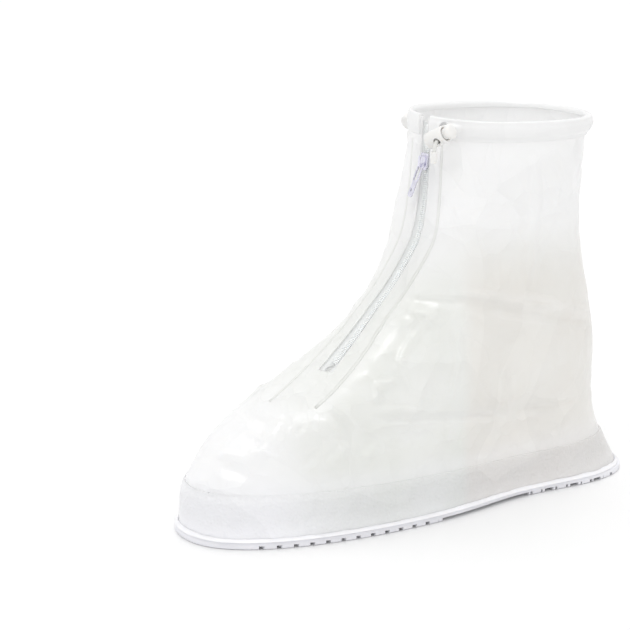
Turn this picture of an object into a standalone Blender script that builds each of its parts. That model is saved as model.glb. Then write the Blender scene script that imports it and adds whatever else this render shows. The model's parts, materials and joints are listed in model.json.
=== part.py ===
"""Reusable rain shoe cover for the right foot, with a front zip and a drawcord top.

Lengths are in metres.  The toe points to -X, the near (inner) side of the foot is -Y, and
the treaded sole stands on the plane Z = 0.
"""
import bpy
import bmesh
from functools import lru_cache
from math import cos, sin, pi, radians
from mathutils import Matrix, Vector
import numpy as np

MM = 0.001

# Driving dimensions of the whole cover
COVER_LENGTH = 300 * MM
COVER_WIDTH = 109 * MM
SHAFT_HEIGHT = 233 * MM
CLEARANCE = 0.3 * MM

# Sole: a moulded plate with lugs between cross grooves
LUG_DEPTH = 2.0 * MM
PLATE_THICKNESS = 2.2 * MM
SOLE_EDGE = 2.2 * MM
SOLE_CHAMFER = 0.5 * MM
GROOVE_WIDTH = 3.0 * MM
GROOVE_PITCH = 9.5 * MM
SPINE_WIDTH = 24 * MM
# One row per treaded zone: where it starts and ends, as shares of the length from the toe
TREAD_ZONES = {"ball": (0.09, 0.47), "heel": (0.72, 0.96)}

# Film walls, and the rows of the film below and above the lower end of the zip
WALL = 1.2 * MM
BAND_WALL = 1.0 * MM
BAND_HEIGHT = 31 * MM
BAND_OVERLAP = 6 * MM
FILM_ROWS_BELOW = 9
FILM_ROWS_ABOVE = 15
WELT_WIDTH = 2.0 * MM
WELT_HEIGHT = 1.7 * MM

# Zip: slit in the film, two tapes, one closed coil, a rain flap behind them
SLIT_WIDTH = 9.6 * MM
COIL_WIDTH = 3.6 * MM
COIL_THICKNESS = 1.6 * MM
COIL_GROOVE = 0.35 * MM
ZIP_STEPS = 3
TAPE_WIDTH = 8.5 * MM
TAPE_THICKNESS = 0.7 * MM
TAPE_GAP = 0.6 * MM
FLAP_WIDTH = 31 * MM
FLAP_THICKNESS = 0.8 * MM
FLAP_HOLLOW = 2.6 * MM
FLAP_WELD_GAP = 0.6 * MM
FLAP_BEND = 1.8 * MM
ZIP_TOP_GAP = 3 * MM
ZIP_END_HEIGHT = 92 * MM
FLAP_END_HEIGHT = 74 * MM

# Slider and pull
SLIDER_DROP = 26 * MM
SLIDER_LENGTH = 10 * MM
SLIDER_WIDTH = 7.6 * MM
SLIDER_PLATE = 1.1 * MM
SLIDER_SEAT = 0.6 * MM
SLIDER_BEVEL = 0.25 * MM
RAIL_WIDTH = 0.9 * MM
BRIDGE_LENGTH = 7.4 * MM
BRIDGE_RISE = 2.4 * MM
BRIDGE_WIDTH = 1.6 * MM
BRIDGE_BAR = 1.0 * MM
BRIDGE_CORNER = 0.6 * MM
BRIDGE_SINK = 0.3 * MM
PULL_LENGTH = 20.5 * MM
PULL_FRAME = 10 * MM
PULL_WIDTH = 5.6 * MM
PULL_THICKNESS = 1.1 * MM
PULL_ARM = 1.1 * MM
PULL_SHOULDER = 2.0 * MM
PULL_CORNER = 1.5 * MM
PULL_BEVEL = 0.2 * MM
PULL_HOLE = 1.9 * MM
PULL_HOLE_UP = 4.2 * MM
PULL_HANG = 17

# Casing of the drawcord: a band folded over the top edge
CASING_HEIGHT = 12 * MM
CASING_WALL = 1.0 * MM
CHANNEL_DEPTH = 4.0 * MM
FLAT_DEPTH = 0.9 * MM
FLAT_RUN = 11 * MM
HEM_RISE = 2.0 * MM
HEM_INSIDE = 4 * MM

# Drawcord, its spring toggles and its tips
CORD_DIAMETER = 2.4 * MM
CORD_SEAT = CORD_DIAMETER / 2 + 1.5 * CLEARANCE
CORD_RISE = -5.6 * MM
CORD_TURN_IN = 8 * MM
EYELET_HOLE = 5.8 * MM
EYELET_DIAMETER = 8.6 * MM
EYELET_THICKNESS = 0.8 * MM
EYELET_LEAD = 1.8 * MM
TOGGLE_LENGTH = 12.8 * MM
TOGGLE_DIAMETER = 10.5 * MM
TOGGLE_BORE = 7.8 * MM
TOGGLE_FLOOR = 1.2 * MM
TOGGLE_FOOT_ROUND = 1.6 * MM
TOGGLE_MOUTH_ROUND = 0.6 * MM
BUTTON_TRAVEL = 2.2 * MM
BUTTON_HEAD = 3.4 * MM
BUTTON_DIAMETER = 9.2 * MM
STEM_DIAMETER = 7.0 * MM
STEM_FOOT = 1.6 * MM
STEM_CHAMFER = 0.5 * MM
HOLE_UP = 8.0 * MM
HOLE_DIAMETER = 4.4 * MM
SPRING_WIRE = 0.6 * MM
SPRING_TURNS = 2
TIP_LENGTH = 7 * MM
TIP_DIAMETER = 4.4 * MM
TIP_SEAT = 3 * MM
TIP_PLAY = 0.15 * MM
TIP_ROUND = 0.8 * MM

# One row per section, from the sole edge up to the rim.  front, back: where the section
# meets the middle plane, as shares of the cover's length from the heel (0) to the toe (1);
# front_up, back_up: its heights there, as shares of the shaft height; near, far: its
# greatest half widths, as shares of the cover's width; widest: how far along the section
# that is (0 front, 1 back); front_round, back_round: how blunt its ends are (2 is an
# ellipse); waist: how far the near side is pinched in behind the ball of the foot, as a
# share of the cover's width.
SECTION_COLUMNS = ("front", "front_up", "back", "back_up", "near", "far",
                   "widest", "front_round", "back_round", "waist")
SECTIONS = (
    (1.004, 0.020, -0.004, 0.020, 0.470, 0.490, 0.38, 2.35, 2.90, 0.110),
    (1.004, 0.060, 0.005, 0.050, 0.455, 0.475, 0.38, 2.30, 2.80, 0.085),
    (1.000, 0.120, 0.024, 0.100, 0.448, 0.465, 0.39, 2.25, 2.60, 0.060),
    (0.970, 0.190, 0.043, 0.160, 0.440, 0.455, 0.40, 2.20, 2.50, 0.045),
    (0.938, 0.240, 0.051, 0.220, 0.430, 0.445, 0.42, 2.20, 2.40, 0.030),
    (0.881, 0.295, 0.053, 0.280, 0.425, 0.435, 0.45, 2.20, 2.30, 0.020),
    (0.791, 0.355, 0.053, 0.345, 0.425, 0.430, 0.48, 2.25, 2.25, 0.010),
    (0.699, 0.420, 0.061, 0.415, 0.425, 0.425, 0.50, 2.30, 2.20, 0.000),
    (0.617, 0.490, 0.078, 0.485, 0.425, 0.425, 0.50, 2.40, 2.20, 0.000),
    (0.558, 0.565, 0.094, 0.560, 0.425, 0.425, 0.50, 2.50, 2.20, 0.000),
    (0.523, 0.640, 0.109, 0.635, 0.430, 0.430, 0.50, 2.70, 2.20, 0.000),
    (0.503, 0.715, 0.119, 0.710, 0.432, 0.432, 0.50, 2.80, 2.20, 0.000),
    (0.485, 0.790, 0.121, 0.785, 0.435, 0.435, 0.50, 2.90, 2.20, 0.000),
    (0.472, 0.870, 0.117, 0.860, 0.437, 0.437, 0.50, 2.80, 2.20, 0.000),
    (0.466, 0.940, 0.115, 0.930, 0.430, 0.430, 0.50, 2.60, 2.20, 0.000),
    (0.464, 1.000, 0.105, 0.985, 0.428, 0.428, 0.50, 2.50, 2.20, 0.000),
)
ROWS = len(SECTIONS)
PINCH_PLACE = 0.71
PINCH_REACH = 0.17
FAR_PINCH = 0.4

# The zip's middle line: its shift towards the near side, as a share of the cover's width,
# at heights that are shares of the shaft height
ZIP_SHIFT = ((0.25, 0.250), (0.36, 0.180), (0.41, 0.120), (0.46, 0.060), (0.52, 0.010),
             (0.62, 0.030), (0.71, 0.090), (0.80, 0.050), (0.90, 0.010), (1.00, 0.000))

# Folds of the film.  side: -1 near, 1 far; up, round: start and end of the fold, as shares
# of the shaft height and of the way round from the zip to the back; depth and width of the
# fold (a negative depth is a groove).
FOLD_COLUMNS = ("side", "up", "round", "end_up", "end_round", "depth", "width")
FOLDS = (
    (-1, 0.50, 0.30, 0.50, 0.85, 2.6 * MM, 7 * MM),
    (-1, 0.46, 0.10, 0.45, 0.80, -2.0 * MM, 7 * MM),
    (-1, 0.25, 0.35, 0.27, 0.70, -1.8 * MM, 6 * MM),
    (-1, 0.30, 0.30, 0.31, 0.85, 2.2 * MM, 8 * MM),
    (-1, 0.55, 0.10, 0.36, 0.16, 1.8 * MM, 7 * MM),
    (-1, 0.95, 0.52, 0.55, 0.50, 1.6 * MM, 9 * MM),
    (-1, 0.20, 0.12, 0.33, 0.22, 1.6 * MM, 7 * MM),
    (1, 0.49, 0.25, 0.50, 0.85, 2.4 * MM, 7 * MM),
    (1, 0.44, 0.15, 0.44, 0.80, -2.0 * MM, 7 * MM),
    (1, 0.27, 0.30, 0.29, 0.80, 1.8 * MM, 8 * MM),
    (1, 0.95, 0.50, 0.55, 0.50, 1.6 * MM, 9 * MM),
)

# Colours, roughness and metallic value of each material
MATERIALS = {
    "milky_film": ((0.86, 0.86, 0.85), 0.25, 0.0),
    "grained_film": ((0.80, 0.80, 0.83), 0.40, 0.0),
    "sole_vinyl": ((0.78, 0.78, 0.79), 0.45, 0.0),
    "zip_tape": ((0.90, 0.91, 0.90), 0.80, 0.0),
    "zip_coil": ((0.80, 0.88, 0.87), 0.40, 0.0),
    "slider_metal": ((0.62, 0.61, 0.68), 0.25, 1.0),
    "toggle_plastic": ((0.92, 0.92, 0.88), 0.30, 0.0),
    "spring_steel": ((0.40, 0.38, 0.30), 0.30, 1.0),
    "eyelet_metal": ((0.60, 0.60, 0.60), 0.35, 1.0),
    "white_cord": ((0.90, 0.90, 0.87), 0.85, 0.0),
}


def clear_scene():
    for old in list(bpy.data.objects):
        bpy.data.objects.remove(old, do_unlink=True)


def material(name):
    """The named material, made the first time that a piece asks for it."""
    found = bpy.data.materials.get(name)
    if found:
        return found
    colour, roughness, metallic = MATERIALS[name]
    made = bpy.data.materials.new(name)
    made.use_nodes = True
    shader = made.node_tree.nodes["Principled BSDF"]
    shader.inputs["Base Color"].default_value = (*colour, 1.0)
    shader.inputs["Roughness"].default_value = roughness
    shader.inputs["Metallic"].default_value = metallic
    return made


def smooth_between(low, high, value):
    share = np.clip((value - low) / (high - low), 0.0, 1.0)
    return share * share * (3 - 2 * share)


# Surface of the film: sections, arc lengths, normals and folds

def section_at(level):
    """The section at a level from 0 (sole edge) to 1 (rim), on a smooth curve through the rows."""
    place = min(max(level, 0.0), 1.0) * (ROWS - 1)
    i = min(int(place), ROWS - 2)
    f = place - i
    a = np.array(SECTIONS[max(i - 1, 0)])
    b = np.array(SECTIONS[i])
    c = np.array(SECTIONS[i + 1])
    d = np.array(SECTIONS[min(i + 2, ROWS - 1)])
    values = 0.5 * (2 * b + (c - a) * f + (2 * a - 5 * b + 4 * c - d) * f ** 2
                    + (3 * b - 3 * c + d - a) * f ** 3)
    return dict(zip(SECTION_COLUMNS, values))


@lru_cache(maxsize=None)
def half_section(level, side):
    """Points of one half of a section from front to back, and their lengths along it."""
    row = section_at(level)
    t = (1 - np.cos(np.linspace(0, pi, 160))) / 2
    ahead = np.clip(1 - t / row["widest"], 0, 1)
    behind = np.clip((t - row["widest"]) / (1 - row["widest"]), 0, 1)
    swell = np.where(t < row["widest"],
                     (1 - ahead ** row["front_round"]) ** (1 / row["front_round"]),
                     (1 - behind ** row["back_round"]) ** (1 / row["back_round"]))
    widest = row["near"] if side < 0 else row["far"]
    pinch = row["waist"] * (1 if side < 0 else FAR_PINCH)
    bell = np.exp(-((t - PINCH_PLACE) / PINCH_REACH) ** 2)
    width = (widest * swell - pinch * bell * np.sqrt(swell)) * COVER_WIDTH
    x = (0.5 - row["front"] - (row["back"] - row["front"]) * t) * COVER_LENGTH
    z = (row["front_up"] + (row["back_up"] - row["front_up"]) * t) * SHAFT_HEIGHT
    points = np.stack([x, side * width, z], 1)
    steps = np.linalg.norm(np.diff(points, axis=0), axis=1)
    return points, np.concatenate([[0], np.cumsum(steps)])


def half_length(level, side):
    return half_section(level, side)[1][-1]


def bare_point(level, along):
    """Point of the unfolded film, `along` metres from the front middle (near side negative)."""
    side = -1 if along < 0 else 1
    far = abs(along)
    if far > half_length(level, side):
        far = half_length(level, -side) - (far - half_length(level, side))
        side = -side
    points, lengths = half_section(level, side)
    return np.array([np.interp(far, lengths, points[:, k]) for k in range(3)])


def normal_at(level, along):
    """Outward normal of the film there."""
    step = 1.5 * MM
    side = -1 if along < 0 else 1
    share = along / half_length(level, side)
    low = max(level - 0.01, 0.0)
    high = min(level + 0.01, 1.0)
    around = bare_point(level, along + step) - bare_point(level, along - step)
    upward = (bare_point(high, share * half_length(high, side))
              - bare_point(low, share * half_length(low, side)))
    normal = np.cross(upward, around)
    return normal / np.linalg.norm(normal)


@lru_cache(maxsize=None)
def level_of_height(height):
    """Level at which the front of the film has the given height."""
    low, high = 0.0, 1.0
    for _ in range(30):
        middle = (low + high) / 2
        if section_at(middle)["front_up"] * SHAFT_HEIGHT < height:
            low = middle
        else:
            high = middle
    return (low + high) / 2


def zip_shift(level):
    """Distance of the zip's middle line from the front middle; negative is the near side."""
    up = section_at(level)["front_up"]
    ups, shifts = zip(*ZIP_SHIFT)
    return -float(np.interp(up, ups, shifts)) * COVER_WIDTH


def fold_height(level, along):
    """How far the folds push the film out there."""
    side = -1 if along < 0 else 1
    up = section_at(level)["front_up"] * SHAFT_HEIGHT
    reach = half_length(level, side)
    here = np.array([up, abs(along)])
    total = 0.0
    for row in FOLDS:
        fold = dict(zip(FOLD_COLUMNS, row))
        if fold["side"] != side:
            continue
        start = np.array([fold["up"] * SHAFT_HEIGHT, fold["round"] * reach])
        end = np.array([fold["end_up"] * SHAFT_HEIGHT, fold["end_round"] * reach])
        run = end - start
        share = np.clip(np.dot(here - start, run) / np.dot(run, run), 0, 1)
        distance = np.linalg.norm(here - start - run * share)
        total += fold["depth"] * np.exp(-(distance / fold["width"]) ** 2)
    calm_front = smooth_between(FLAP_WIDTH / 2, FLAP_WIDTH, abs(along - zip_shift(level)))
    calm_top = 1 - smooth_between(SHAFT_HEIGHT * 0.84, SHAFT_HEIGHT * 0.92, up)
    calm_base = smooth_between(BAND_HEIGHT, BAND_HEIGHT * 1.4, up)
    return total * calm_front * calm_top * calm_base


def film_point(level, along, offset):
    """Point `offset` metres outside the folded film."""
    push = fold_height(level, along) + offset
    return bare_point(level, along) + normal_at(level, along) * push


def place_at(level, side, distance, share):
    """Place on the film: `distance` from the zip's middle, then `share` of the way to the back."""
    shift = zip_shift(level)
    rest = half_length(level, side) - side * shift - distance
    return shift + side * (distance + share * rest)


# Mesh makers

def add_object(name, slot, vertices, faces, smooth=True):
    """A closed mesh object with outward faces."""
    mesh = bpy.data.meshes.new(name)
    mesh.from_pydata([tuple(v) for v in vertices], [], faces)
    work = bmesh.new()
    work.from_mesh(mesh)
    loose = [v for v in work.verts if not v.link_faces]
    bmesh.ops.delete(work, geom=loose, context="VERTS")
    bmesh.ops.recalc_face_normals(work, faces=work.faces)
    work.to_mesh(mesh)
    work.free()
    mesh.materials.append(material(slot))
    if smooth:
        mesh.shade_smooth()
        mesh.set_sharp_from_angle(angle=radians(40))
    made = bpy.data.objects.new(name, mesh)
    bpy.context.scene.collection.objects.link(made)
    return made


def thick_sheet(name, slot, outer, inner, closed=False, is_open=None):
    """A wall between two grids of points, with its edges closed."""
    rows, columns = len(outer), len(outer[0])
    total = rows * columns
    vertices = [p for line in outer for p in line] + [p for line in inner for p in line]
    faces = []
    directed = set()
    for i in range(rows - 1):
        for j in range(columns if closed else columns - 1):
            if is_open and is_open(i, j):
                continue
            k = (j + 1) % columns
            quad = (i * columns + j, i * columns + k, (i + 1) * columns + k, (i + 1) * columns + j)
            faces.append(quad)
            faces.append(tuple(total + v for v in reversed(quad)))
            directed.update(zip(quad, quad[1:] + quad[:1]))
    for a, b in sorted(directed):
        if (b, a) not in directed:
            faces.append((b, a, total + a, total + b))
    return add_object(name, slot, vertices, faces)


def loft(name, slot, loops, closed=False, smooth=True):
    """A solid through loops of points, capped at its ends unless it closes on itself."""
    count = len(loops[0])
    vertices = [p for loop in loops for p in loop]
    faces = []
    last = len(loops) if closed else len(loops) - 1
    for i in range(last):
        k = (i + 1) % len(loops)
        for j in range(count):
            m = (j + 1) % count
            faces.append((i * count + j, i * count + m, k * count + m, k * count + j))
    if not closed:
        faces.append(tuple(range(count)))
        faces.append(tuple(reversed(range((len(loops) - 1) * count, len(loops) * count))))
    return add_object(name, slot, vertices, faces, smooth)


def turned(name, slot, profile, sides=16):
    """A solid turned round Z from (radius, height) points; points at radius 0 are poles."""
    work = bmesh.new()
    rings = []
    for radius, height in profile:
        if radius == 0:
            rings.append([work.verts.new((0, 0, height))])
            continue
        rings.append([work.verts.new((radius * cos(2 * pi * k / sides),
                                      radius * sin(2 * pi * k / sides), height))
                      for k in range(sides)])
    for low, high in zip(rings, rings[1:]):
        for k in range(sides):
            m = (k + 1) % sides
            corners = [low[k % len(low)], low[m % len(low)], high[m % len(high)], high[k % len(high)]]
            work.faces.new(list(dict.fromkeys(corners)))
    mesh = bpy.data.meshes.new(name)
    bmesh.ops.recalc_face_normals(work, faces=work.faces)
    work.to_mesh(mesh)
    work.free()
    mesh.materials.append(material(slot))
    mesh.shade_smooth()
    mesh.set_sharp_from_angle(angle=radians(40))
    made = bpy.data.objects.new(name, mesh)
    bpy.context.scene.collection.objects.link(made)
    return made


def cutter(name, size, location, round_sides=0, axis="Z"):
    """A hidden box, or a hidden round bar, that cuts other pieces."""
    work = bmesh.new()
    if round_sides:
        bmesh.ops.create_cone(work, cap_ends=True, segments=round_sides, radius1=size[0] / 2,
                              radius2=size[0] / 2, depth=size[2])
    else:
        bmesh.ops.create_cube(work, size=1.0, matrix=Matrix.Diagonal((*size, 1.0)))
    if axis == "X":
        bmesh.ops.rotate(work, verts=work.verts, matrix=Matrix.Rotation(pi / 2, 3, "Y"))
    bmesh.ops.translate(work, verts=work.verts, vec=location)
    mesh = bpy.data.meshes.new(name)
    work.to_mesh(mesh)
    work.free()
    made = bpy.data.objects.new(name, mesh)
    bpy.context.scene.collection.objects.link(made)
    made.hide_render = True
    made.display_type = "WIRE"
    return made


def cut(piece, tool):
    """Subtract a cutter that keeps its own place in the piece's space."""
    tool.parent = piece
    step = piece.modifiers.new("cut_" + tool.name, "BOOLEAN")
    step.operation = "DIFFERENCE"
    step.solver = "EXACT"
    step.object = tool


# Sole

def sole_outline():
    """Edge of the sole, outside the foot of the film by the sole's edge."""
    outline = []
    count = 36
    for side in (-1, 1):
        length = half_length(0.0, side)
        for k in range(count):
            share = k / count if side < 0 else 1 - k / count
            along = side * share * length
            normal = normal_at(0.0, along)
            flat = np.array([normal[0], normal[1], 0.0])
            edge = bare_point(0.0, along) + flat / np.linalg.norm(flat) * SOLE_EDGE
            outline.append((edge[0], edge[1]))
    return outline


def build_sole():
    outline = sole_outline()
    top = LUG_DEPTH + PLATE_THICKNESS
    chamfer = SOLE_CHAMFER
    middle = np.mean(outline, axis=0)
    small = [middle + (np.array(p) - middle) * (1 - 2 * chamfer / COVER_WIDTH) for p in outline]
    loops = [[(x, y, 0.0) for x, y in small], [(x, y, chamfer) for x, y in outline],
             [(x, y, top - chamfer) for x, y in outline], [(x, y, top) for x, y in small]]
    sole = loft("sole", "sole_vinyl", loops)
    work = bmesh.new()
    for start, end in TREAD_ZONES.values():
        for k in range(int((end - start) * COVER_LENGTH / GROOVE_PITCH) + 1):
            x = (start - 0.5) * COVER_LENGTH + k * GROOVE_PITCH
            for side in (-1, 1):
                size = Matrix.Diagonal((GROOVE_WIDTH, COVER_WIDTH, 2 * LUG_DEPTH, 1.0))
                move = Matrix.Translation((x, side * (SPINE_WIDTH + COVER_WIDTH) / 2, 0.0))
                bmesh.ops.create_cube(work, size=1.0, matrix=move @ size)
    mesh = bpy.data.meshes.new("tread_grooves")
    work.to_mesh(mesh)
    work.free()
    grooves = bpy.data.objects.new("tread_grooves", mesh)
    bpy.context.scene.collection.objects.link(grooves)
    grooves.hide_render = True
    grooves.display_type = "WIRE"
    cut(sole, grooves)


# Film pieces

def around_shares():
    """Shares from the zip edge to the back, closer together at both ends."""
    first = [0.0, 0.03, 0.06, 0.10, 0.15]
    rest = 13
    return first + [first[-1] + (1 - first[-1]) * k / rest for k in range(1, rest + 1)]


def ring_places(level):
    """Places all round a section: the zip's middle, the near side, the back, the far side."""
    slit = SLIT_WIDTH / 2
    near = [place_at(level, -1, slit, share) for share in around_shares()]
    far = [place_at(level, 1, slit, share) for share in around_shares()]
    return [zip_shift(level)] + near + far[-2::-1]


def levels_between(low, high, count):
    return [low + (high - low) * k / (count - 1) for k in range(count)]


def overlap_levels():
    """Lower and upper edge of the stretch where the band lies over the upper."""
    return level_of_height(BAND_HEIGHT - BAND_OVERLAP), level_of_height(BAND_HEIGHT)


def build_lower_band():
    """The grained band welded round the foot, up to its overlap with the upper."""
    levels = levels_between(0.0, overlap_levels()[0], 3) + [overlap_levels()[1]]
    grids = []
    for offset in (CLEARANCE + BAND_WALL, CLEARANCE):
        grids.append([[film_point(level, along, offset) for along in ring_places(level)]
                      for level in levels])
    lift = LUG_DEPTH + PLATE_THICKNESS + CLEARANCE
    for grid in grids:
        for point in grid[0]:
            point[2] = lift
    thick_sheet("lower_band", "grained_film", grids[0], grids[1], closed=True)


def build_welt():
    """The bead of the edge weld, round the foot of the band, on the sole's edge."""
    inside = CLEARANCE + BAND_WALL + CLEARANCE
    base = LUG_DEPTH + PLATE_THICKNESS + CLEARANCE
    profile = ((0.0, 0.0), (1.0, 0.0), (1.0, 0.55), (0.65, 1.0), (0.0, 1.0))
    loops = []
    for along in ring_places(0.0):
        normal = normal_at(0.0, along)
        flat = np.array([normal[0], normal[1], 0.0])
        flat = flat / np.linalg.norm(flat)
        foot = bare_point(0.0, along) + normal * inside
        loops.append([(foot[0] + flat[0] * WELT_WIDTH * out, foot[1] + flat[1] * WELT_WIDTH * out,
                       base + WELT_HEIGHT * up) for out, up in profile])
    loft("edge_welt", "sole_vinyl", loops, closed=True)


def film_levels():
    """Levels of the film's rows, from inside the band to the end of the zip and on to the rim."""
    slit = level_of_height(ZIP_END_HEIGHT)
    below = [overlap_levels()[0]] + levels_between(overlap_levels()[1], slit, FILM_ROWS_BELOW)
    return below[:-1] + levels_between(slit, 1.0, FILM_ROWS_ABOVE)


def build_upper():
    """The milky film from inside the band up to the rim, slit at the front for the zip."""
    levels = film_levels()
    last = len(ring_places(1.0)) - 1
    grids = []
    for offset in (0.0, -WALL):
        grids.append([[film_point(level, along, offset) for along in ring_places(level)]
                      for level in levels])

    def in_slit(i, j):
        return levels[i] >= level_of_height(ZIP_END_HEIGHT) and j in (0, last)

    thick_sheet("upper", "milky_film", grids[0], grids[1], closed=True, is_open=in_slit)


def channel_depth(along):
    """Depth of the cord's channel there; it lies flat at the front, where no cord runs."""
    distance = abs(along - zip_shift(1.0))
    side, exit_distance = TOGGLES["near" if along < zip_shift(1.0) else "far"][:2]
    full = exit_distance - EYELET_DIAMETER / 2
    return FLAT_DEPTH + (CHANNEL_DEPTH - FLAT_DEPTH) * smooth_between(full - FLAT_RUN, full, distance)


def casing_profile(depth):
    """Section of the casing, (outside the film, above its edge), for a channel of that depth."""
    path = ((CLEARANCE, -CASING_HEIGHT), (CLEARANCE, -0.86 * CASING_HEIGHT),
            (depth, -0.66 * CASING_HEIGHT), (depth, -0.26 * CASING_HEIGHT),
            (0.45 * depth, -0.10 * CASING_HEIGHT), (depth * 0.5, HEM_RISE * 0.3),
            (0.0, HEM_RISE * 0.45), (-WALL - CLEARANCE, HEM_RISE * 0.1),
            (-WALL - CLEARANCE, -HEM_INSIDE))
    skin = ((1, 0), (1, 0), (1, 0), (1, 0), (1, 0), (0.8, 0.6), (0, 1), (-0.8, 0.6), (-1, 0))
    outer = [(o + CASING_WALL * a, r + CASING_WALL * b) for (o, r), (a, b) in zip(path, skin)]
    return list(path) + outer[::-1]


def build_casing():
    """The drawcord's casing: a band folded over the rim, with a channel between it and the film."""
    loops = []
    for along in ring_places(1.0)[1:]:
        profile = casing_profile(channel_depth(along))
        loops.append([rim_point(along, offset, rise) for offset, rise in profile])
    casing = loft("top_casing", "milky_film", loops)
    for which in TOGGLES:
        side, along = cord_exit(which)
        depth = CHANNEL_DEPTH + CASING_WALL
        hole = cutter("exit_hole_" + which, (EYELET_HOLE, 0, depth), (0, 0, 0), round_sides=12,
                      axis="X")
        hole.matrix_world = exit_frame(which) @ Matrix.Translation((CASING_WALL, 0, 0))
        cut(casing, hole)


def places_round(near_from, far_from, count):
    """Places along the rim from the near start, round the back, to the far start."""
    near_run = half_length(1.0, -1) + near_from
    far_run = half_length(1.0, 1) - far_from
    places = [near_from - near_run * k / count for k in range(count + 1)]
    return places + [far_from + far_run * (1 - k / count) for k in range(1, count + 1)]


def rim_point(along, offset, rise):
    """Point at the rim, `offset` outside the film and `rise` above its top edge."""
    drop = (SECTIONS[-1][1] - SECTIONS[-3][1]) * SHAFT_HEIGHT * (ROWS - 1) / 2
    level = 1.0 + min(rise, 0.0) / drop
    side = -1 if along < 0 else 1
    share = along / half_length(1.0, side)
    here = share * half_length(level, side)
    point = bare_point(level, here) + normal_at(level, here) * offset
    return point + np.array([0.0, 0.0, max(rise, 0.0)])


def strip_levels(low, high, steps):
    """The film's levels between two ends, each step of them parted into `steps`."""
    rows = [low] + [level for level in film_levels() if low < level < high] + [high]
    fine = [a + (b - a) * k / steps for a, b in zip(rows, rows[1:]) for k in range(steps)]
    return fine + [high]


def strip(name, slot, edges, low, high, offsets, steps=1):
    """A strip along the zip between two distances from its middle, with its own offsets."""
    outer, inner = [], []
    for level in strip_levels(low, high, steps):
        shift = zip_shift(level)
        outer.append([film_point(level, shift + edge, top) for edge, (top, _) in zip(edges, offsets)])
        inner.append([film_point(level, shift + edge, base) for edge, (_, base) in zip(edges, offsets)])
    return thick_sheet(name, slot, outer, inner)


def build_zip():
    """Two woven tapes inside the film, and the closed coil between them."""
    low = level_of_height(ZIP_END_HEIGHT)
    high = level_of_height(SHAFT_HEIGHT - ZIP_TOP_GAP)
    tape_top = -WALL - TAPE_GAP
    tape_start = COIL_WIDTH / 2 + CLEARANCE
    for side, name in ((-1, "zip_tape_near"), (1, "zip_tape_far")):
        edges = (side * tape_start, side * (tape_start + TAPE_WIDTH))
        strip(name, "zip_tape", edges, low, high, [(tape_top, tape_top - TAPE_THICKNESS)] * 2,
              steps=ZIP_STEPS)
    base = tape_top - TAPE_THICKNESS
    ridge = base + COIL_THICKNESS
    outer, inner = [], []
    coil_low = level_of_height(ZIP_END_HEIGHT + COIL_WIDTH)
    for k, level in enumerate(strip_levels(coil_low, high, ZIP_STEPS)):
        shift = zip_shift(level)
        top = ridge if k % 2 else ridge - COIL_GROOVE
        edges = [COIL_WIDTH / 2 * share for share in (-1, -0.45, 0.45, 1)]
        tops = (base + 0.5 * COIL_THICKNESS, top, top, base + 0.5 * COIL_THICKNESS)
        outer.append([film_point(level, shift + e, t) for e, t in zip(edges, tops)])
        inner.append([film_point(level, shift + e, base) for e in edges])
    thick_sheet("zip_coil", "zip_coil", outer, inner)


def build_inner_flap():
    """The rain flap behind the zip, welded to the film along both of its edges."""
    low = level_of_height(FLAP_END_HEIGHT)
    high = level_of_height(SHAFT_HEIGHT - HEM_INSIDE - 2 * ZIP_TOP_GAP)
    half = FLAP_WIDTH / 2
    edge_top = -WALL - TAPE_GAP
    tape_edge = COIL_WIDTH / 2 + CLEARANCE + TAPE_WIDTH
    bend = tape_edge + FLAP_WELD_GAP
    weld = bend + FLAP_BEND
    edges = [-half, -weld, -bend, -half * 0.4, half * 0.4, bend, weld, half]
    depths = (0, 0, FLAP_HOLLOW * 0.55, FLAP_HOLLOW, FLAP_HOLLOW, FLAP_HOLLOW * 0.55, 0, 0)
    offsets = [(edge_top - d, edge_top - d - FLAP_THICKNESS) for d in depths]
    strip("inner_flap", "milky_film", edges, low, high, offsets)


# Slider and pull

def slider_frame():
    """Place on the coil's face: across the zip, up along it, and straight out."""
    level = level_of_height(SHAFT_HEIGHT - SLIDER_DROP)
    coil_top = COIL_THICKNESS - WALL - TAPE_GAP - TAPE_THICKNESS
    here = film_point(level, zip_shift(level), coil_top)
    above = film_point(level + 0.02, zip_shift(level + 0.02), coil_top)
    upward = Vector(above - here)
    upward.y = 0
    upward.normalize()
    across = Vector((0, 1, 0))
    outward = upward.cross(across)
    frame = Matrix((across, upward, outward)).transposed().to_4x4()
    frame.translation = Vector(here)
    return frame


def extruded(name, slot, outline, low, high, axis):
    """A solid from an outline of two coordinates, drawn out along the third axis."""
    loops = []
    for value in (low, high):
        loop = []
        for a, b in outline:
            point = [a, b]
            point.insert(axis, value)
            loop.append(tuple(point))
        loops.append(loop)
    return loft(name, slot, loops, smooth=False)


def unite(piece, other):
    """Join a second solid to a piece that it meets."""
    step = piece.modifiers.new("unite_" + other.name, "BOOLEAN")
    step.operation = "UNION"
    step.solver = "EXACT"
    step.object = other
    other.parent = piece
    other.hide_render = True
    other.display_type = "WIRE"


def pull_pivot_up():
    return SLIDER_SEAT + SLIDER_PLATE + BRIDGE_RISE / 2


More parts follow.
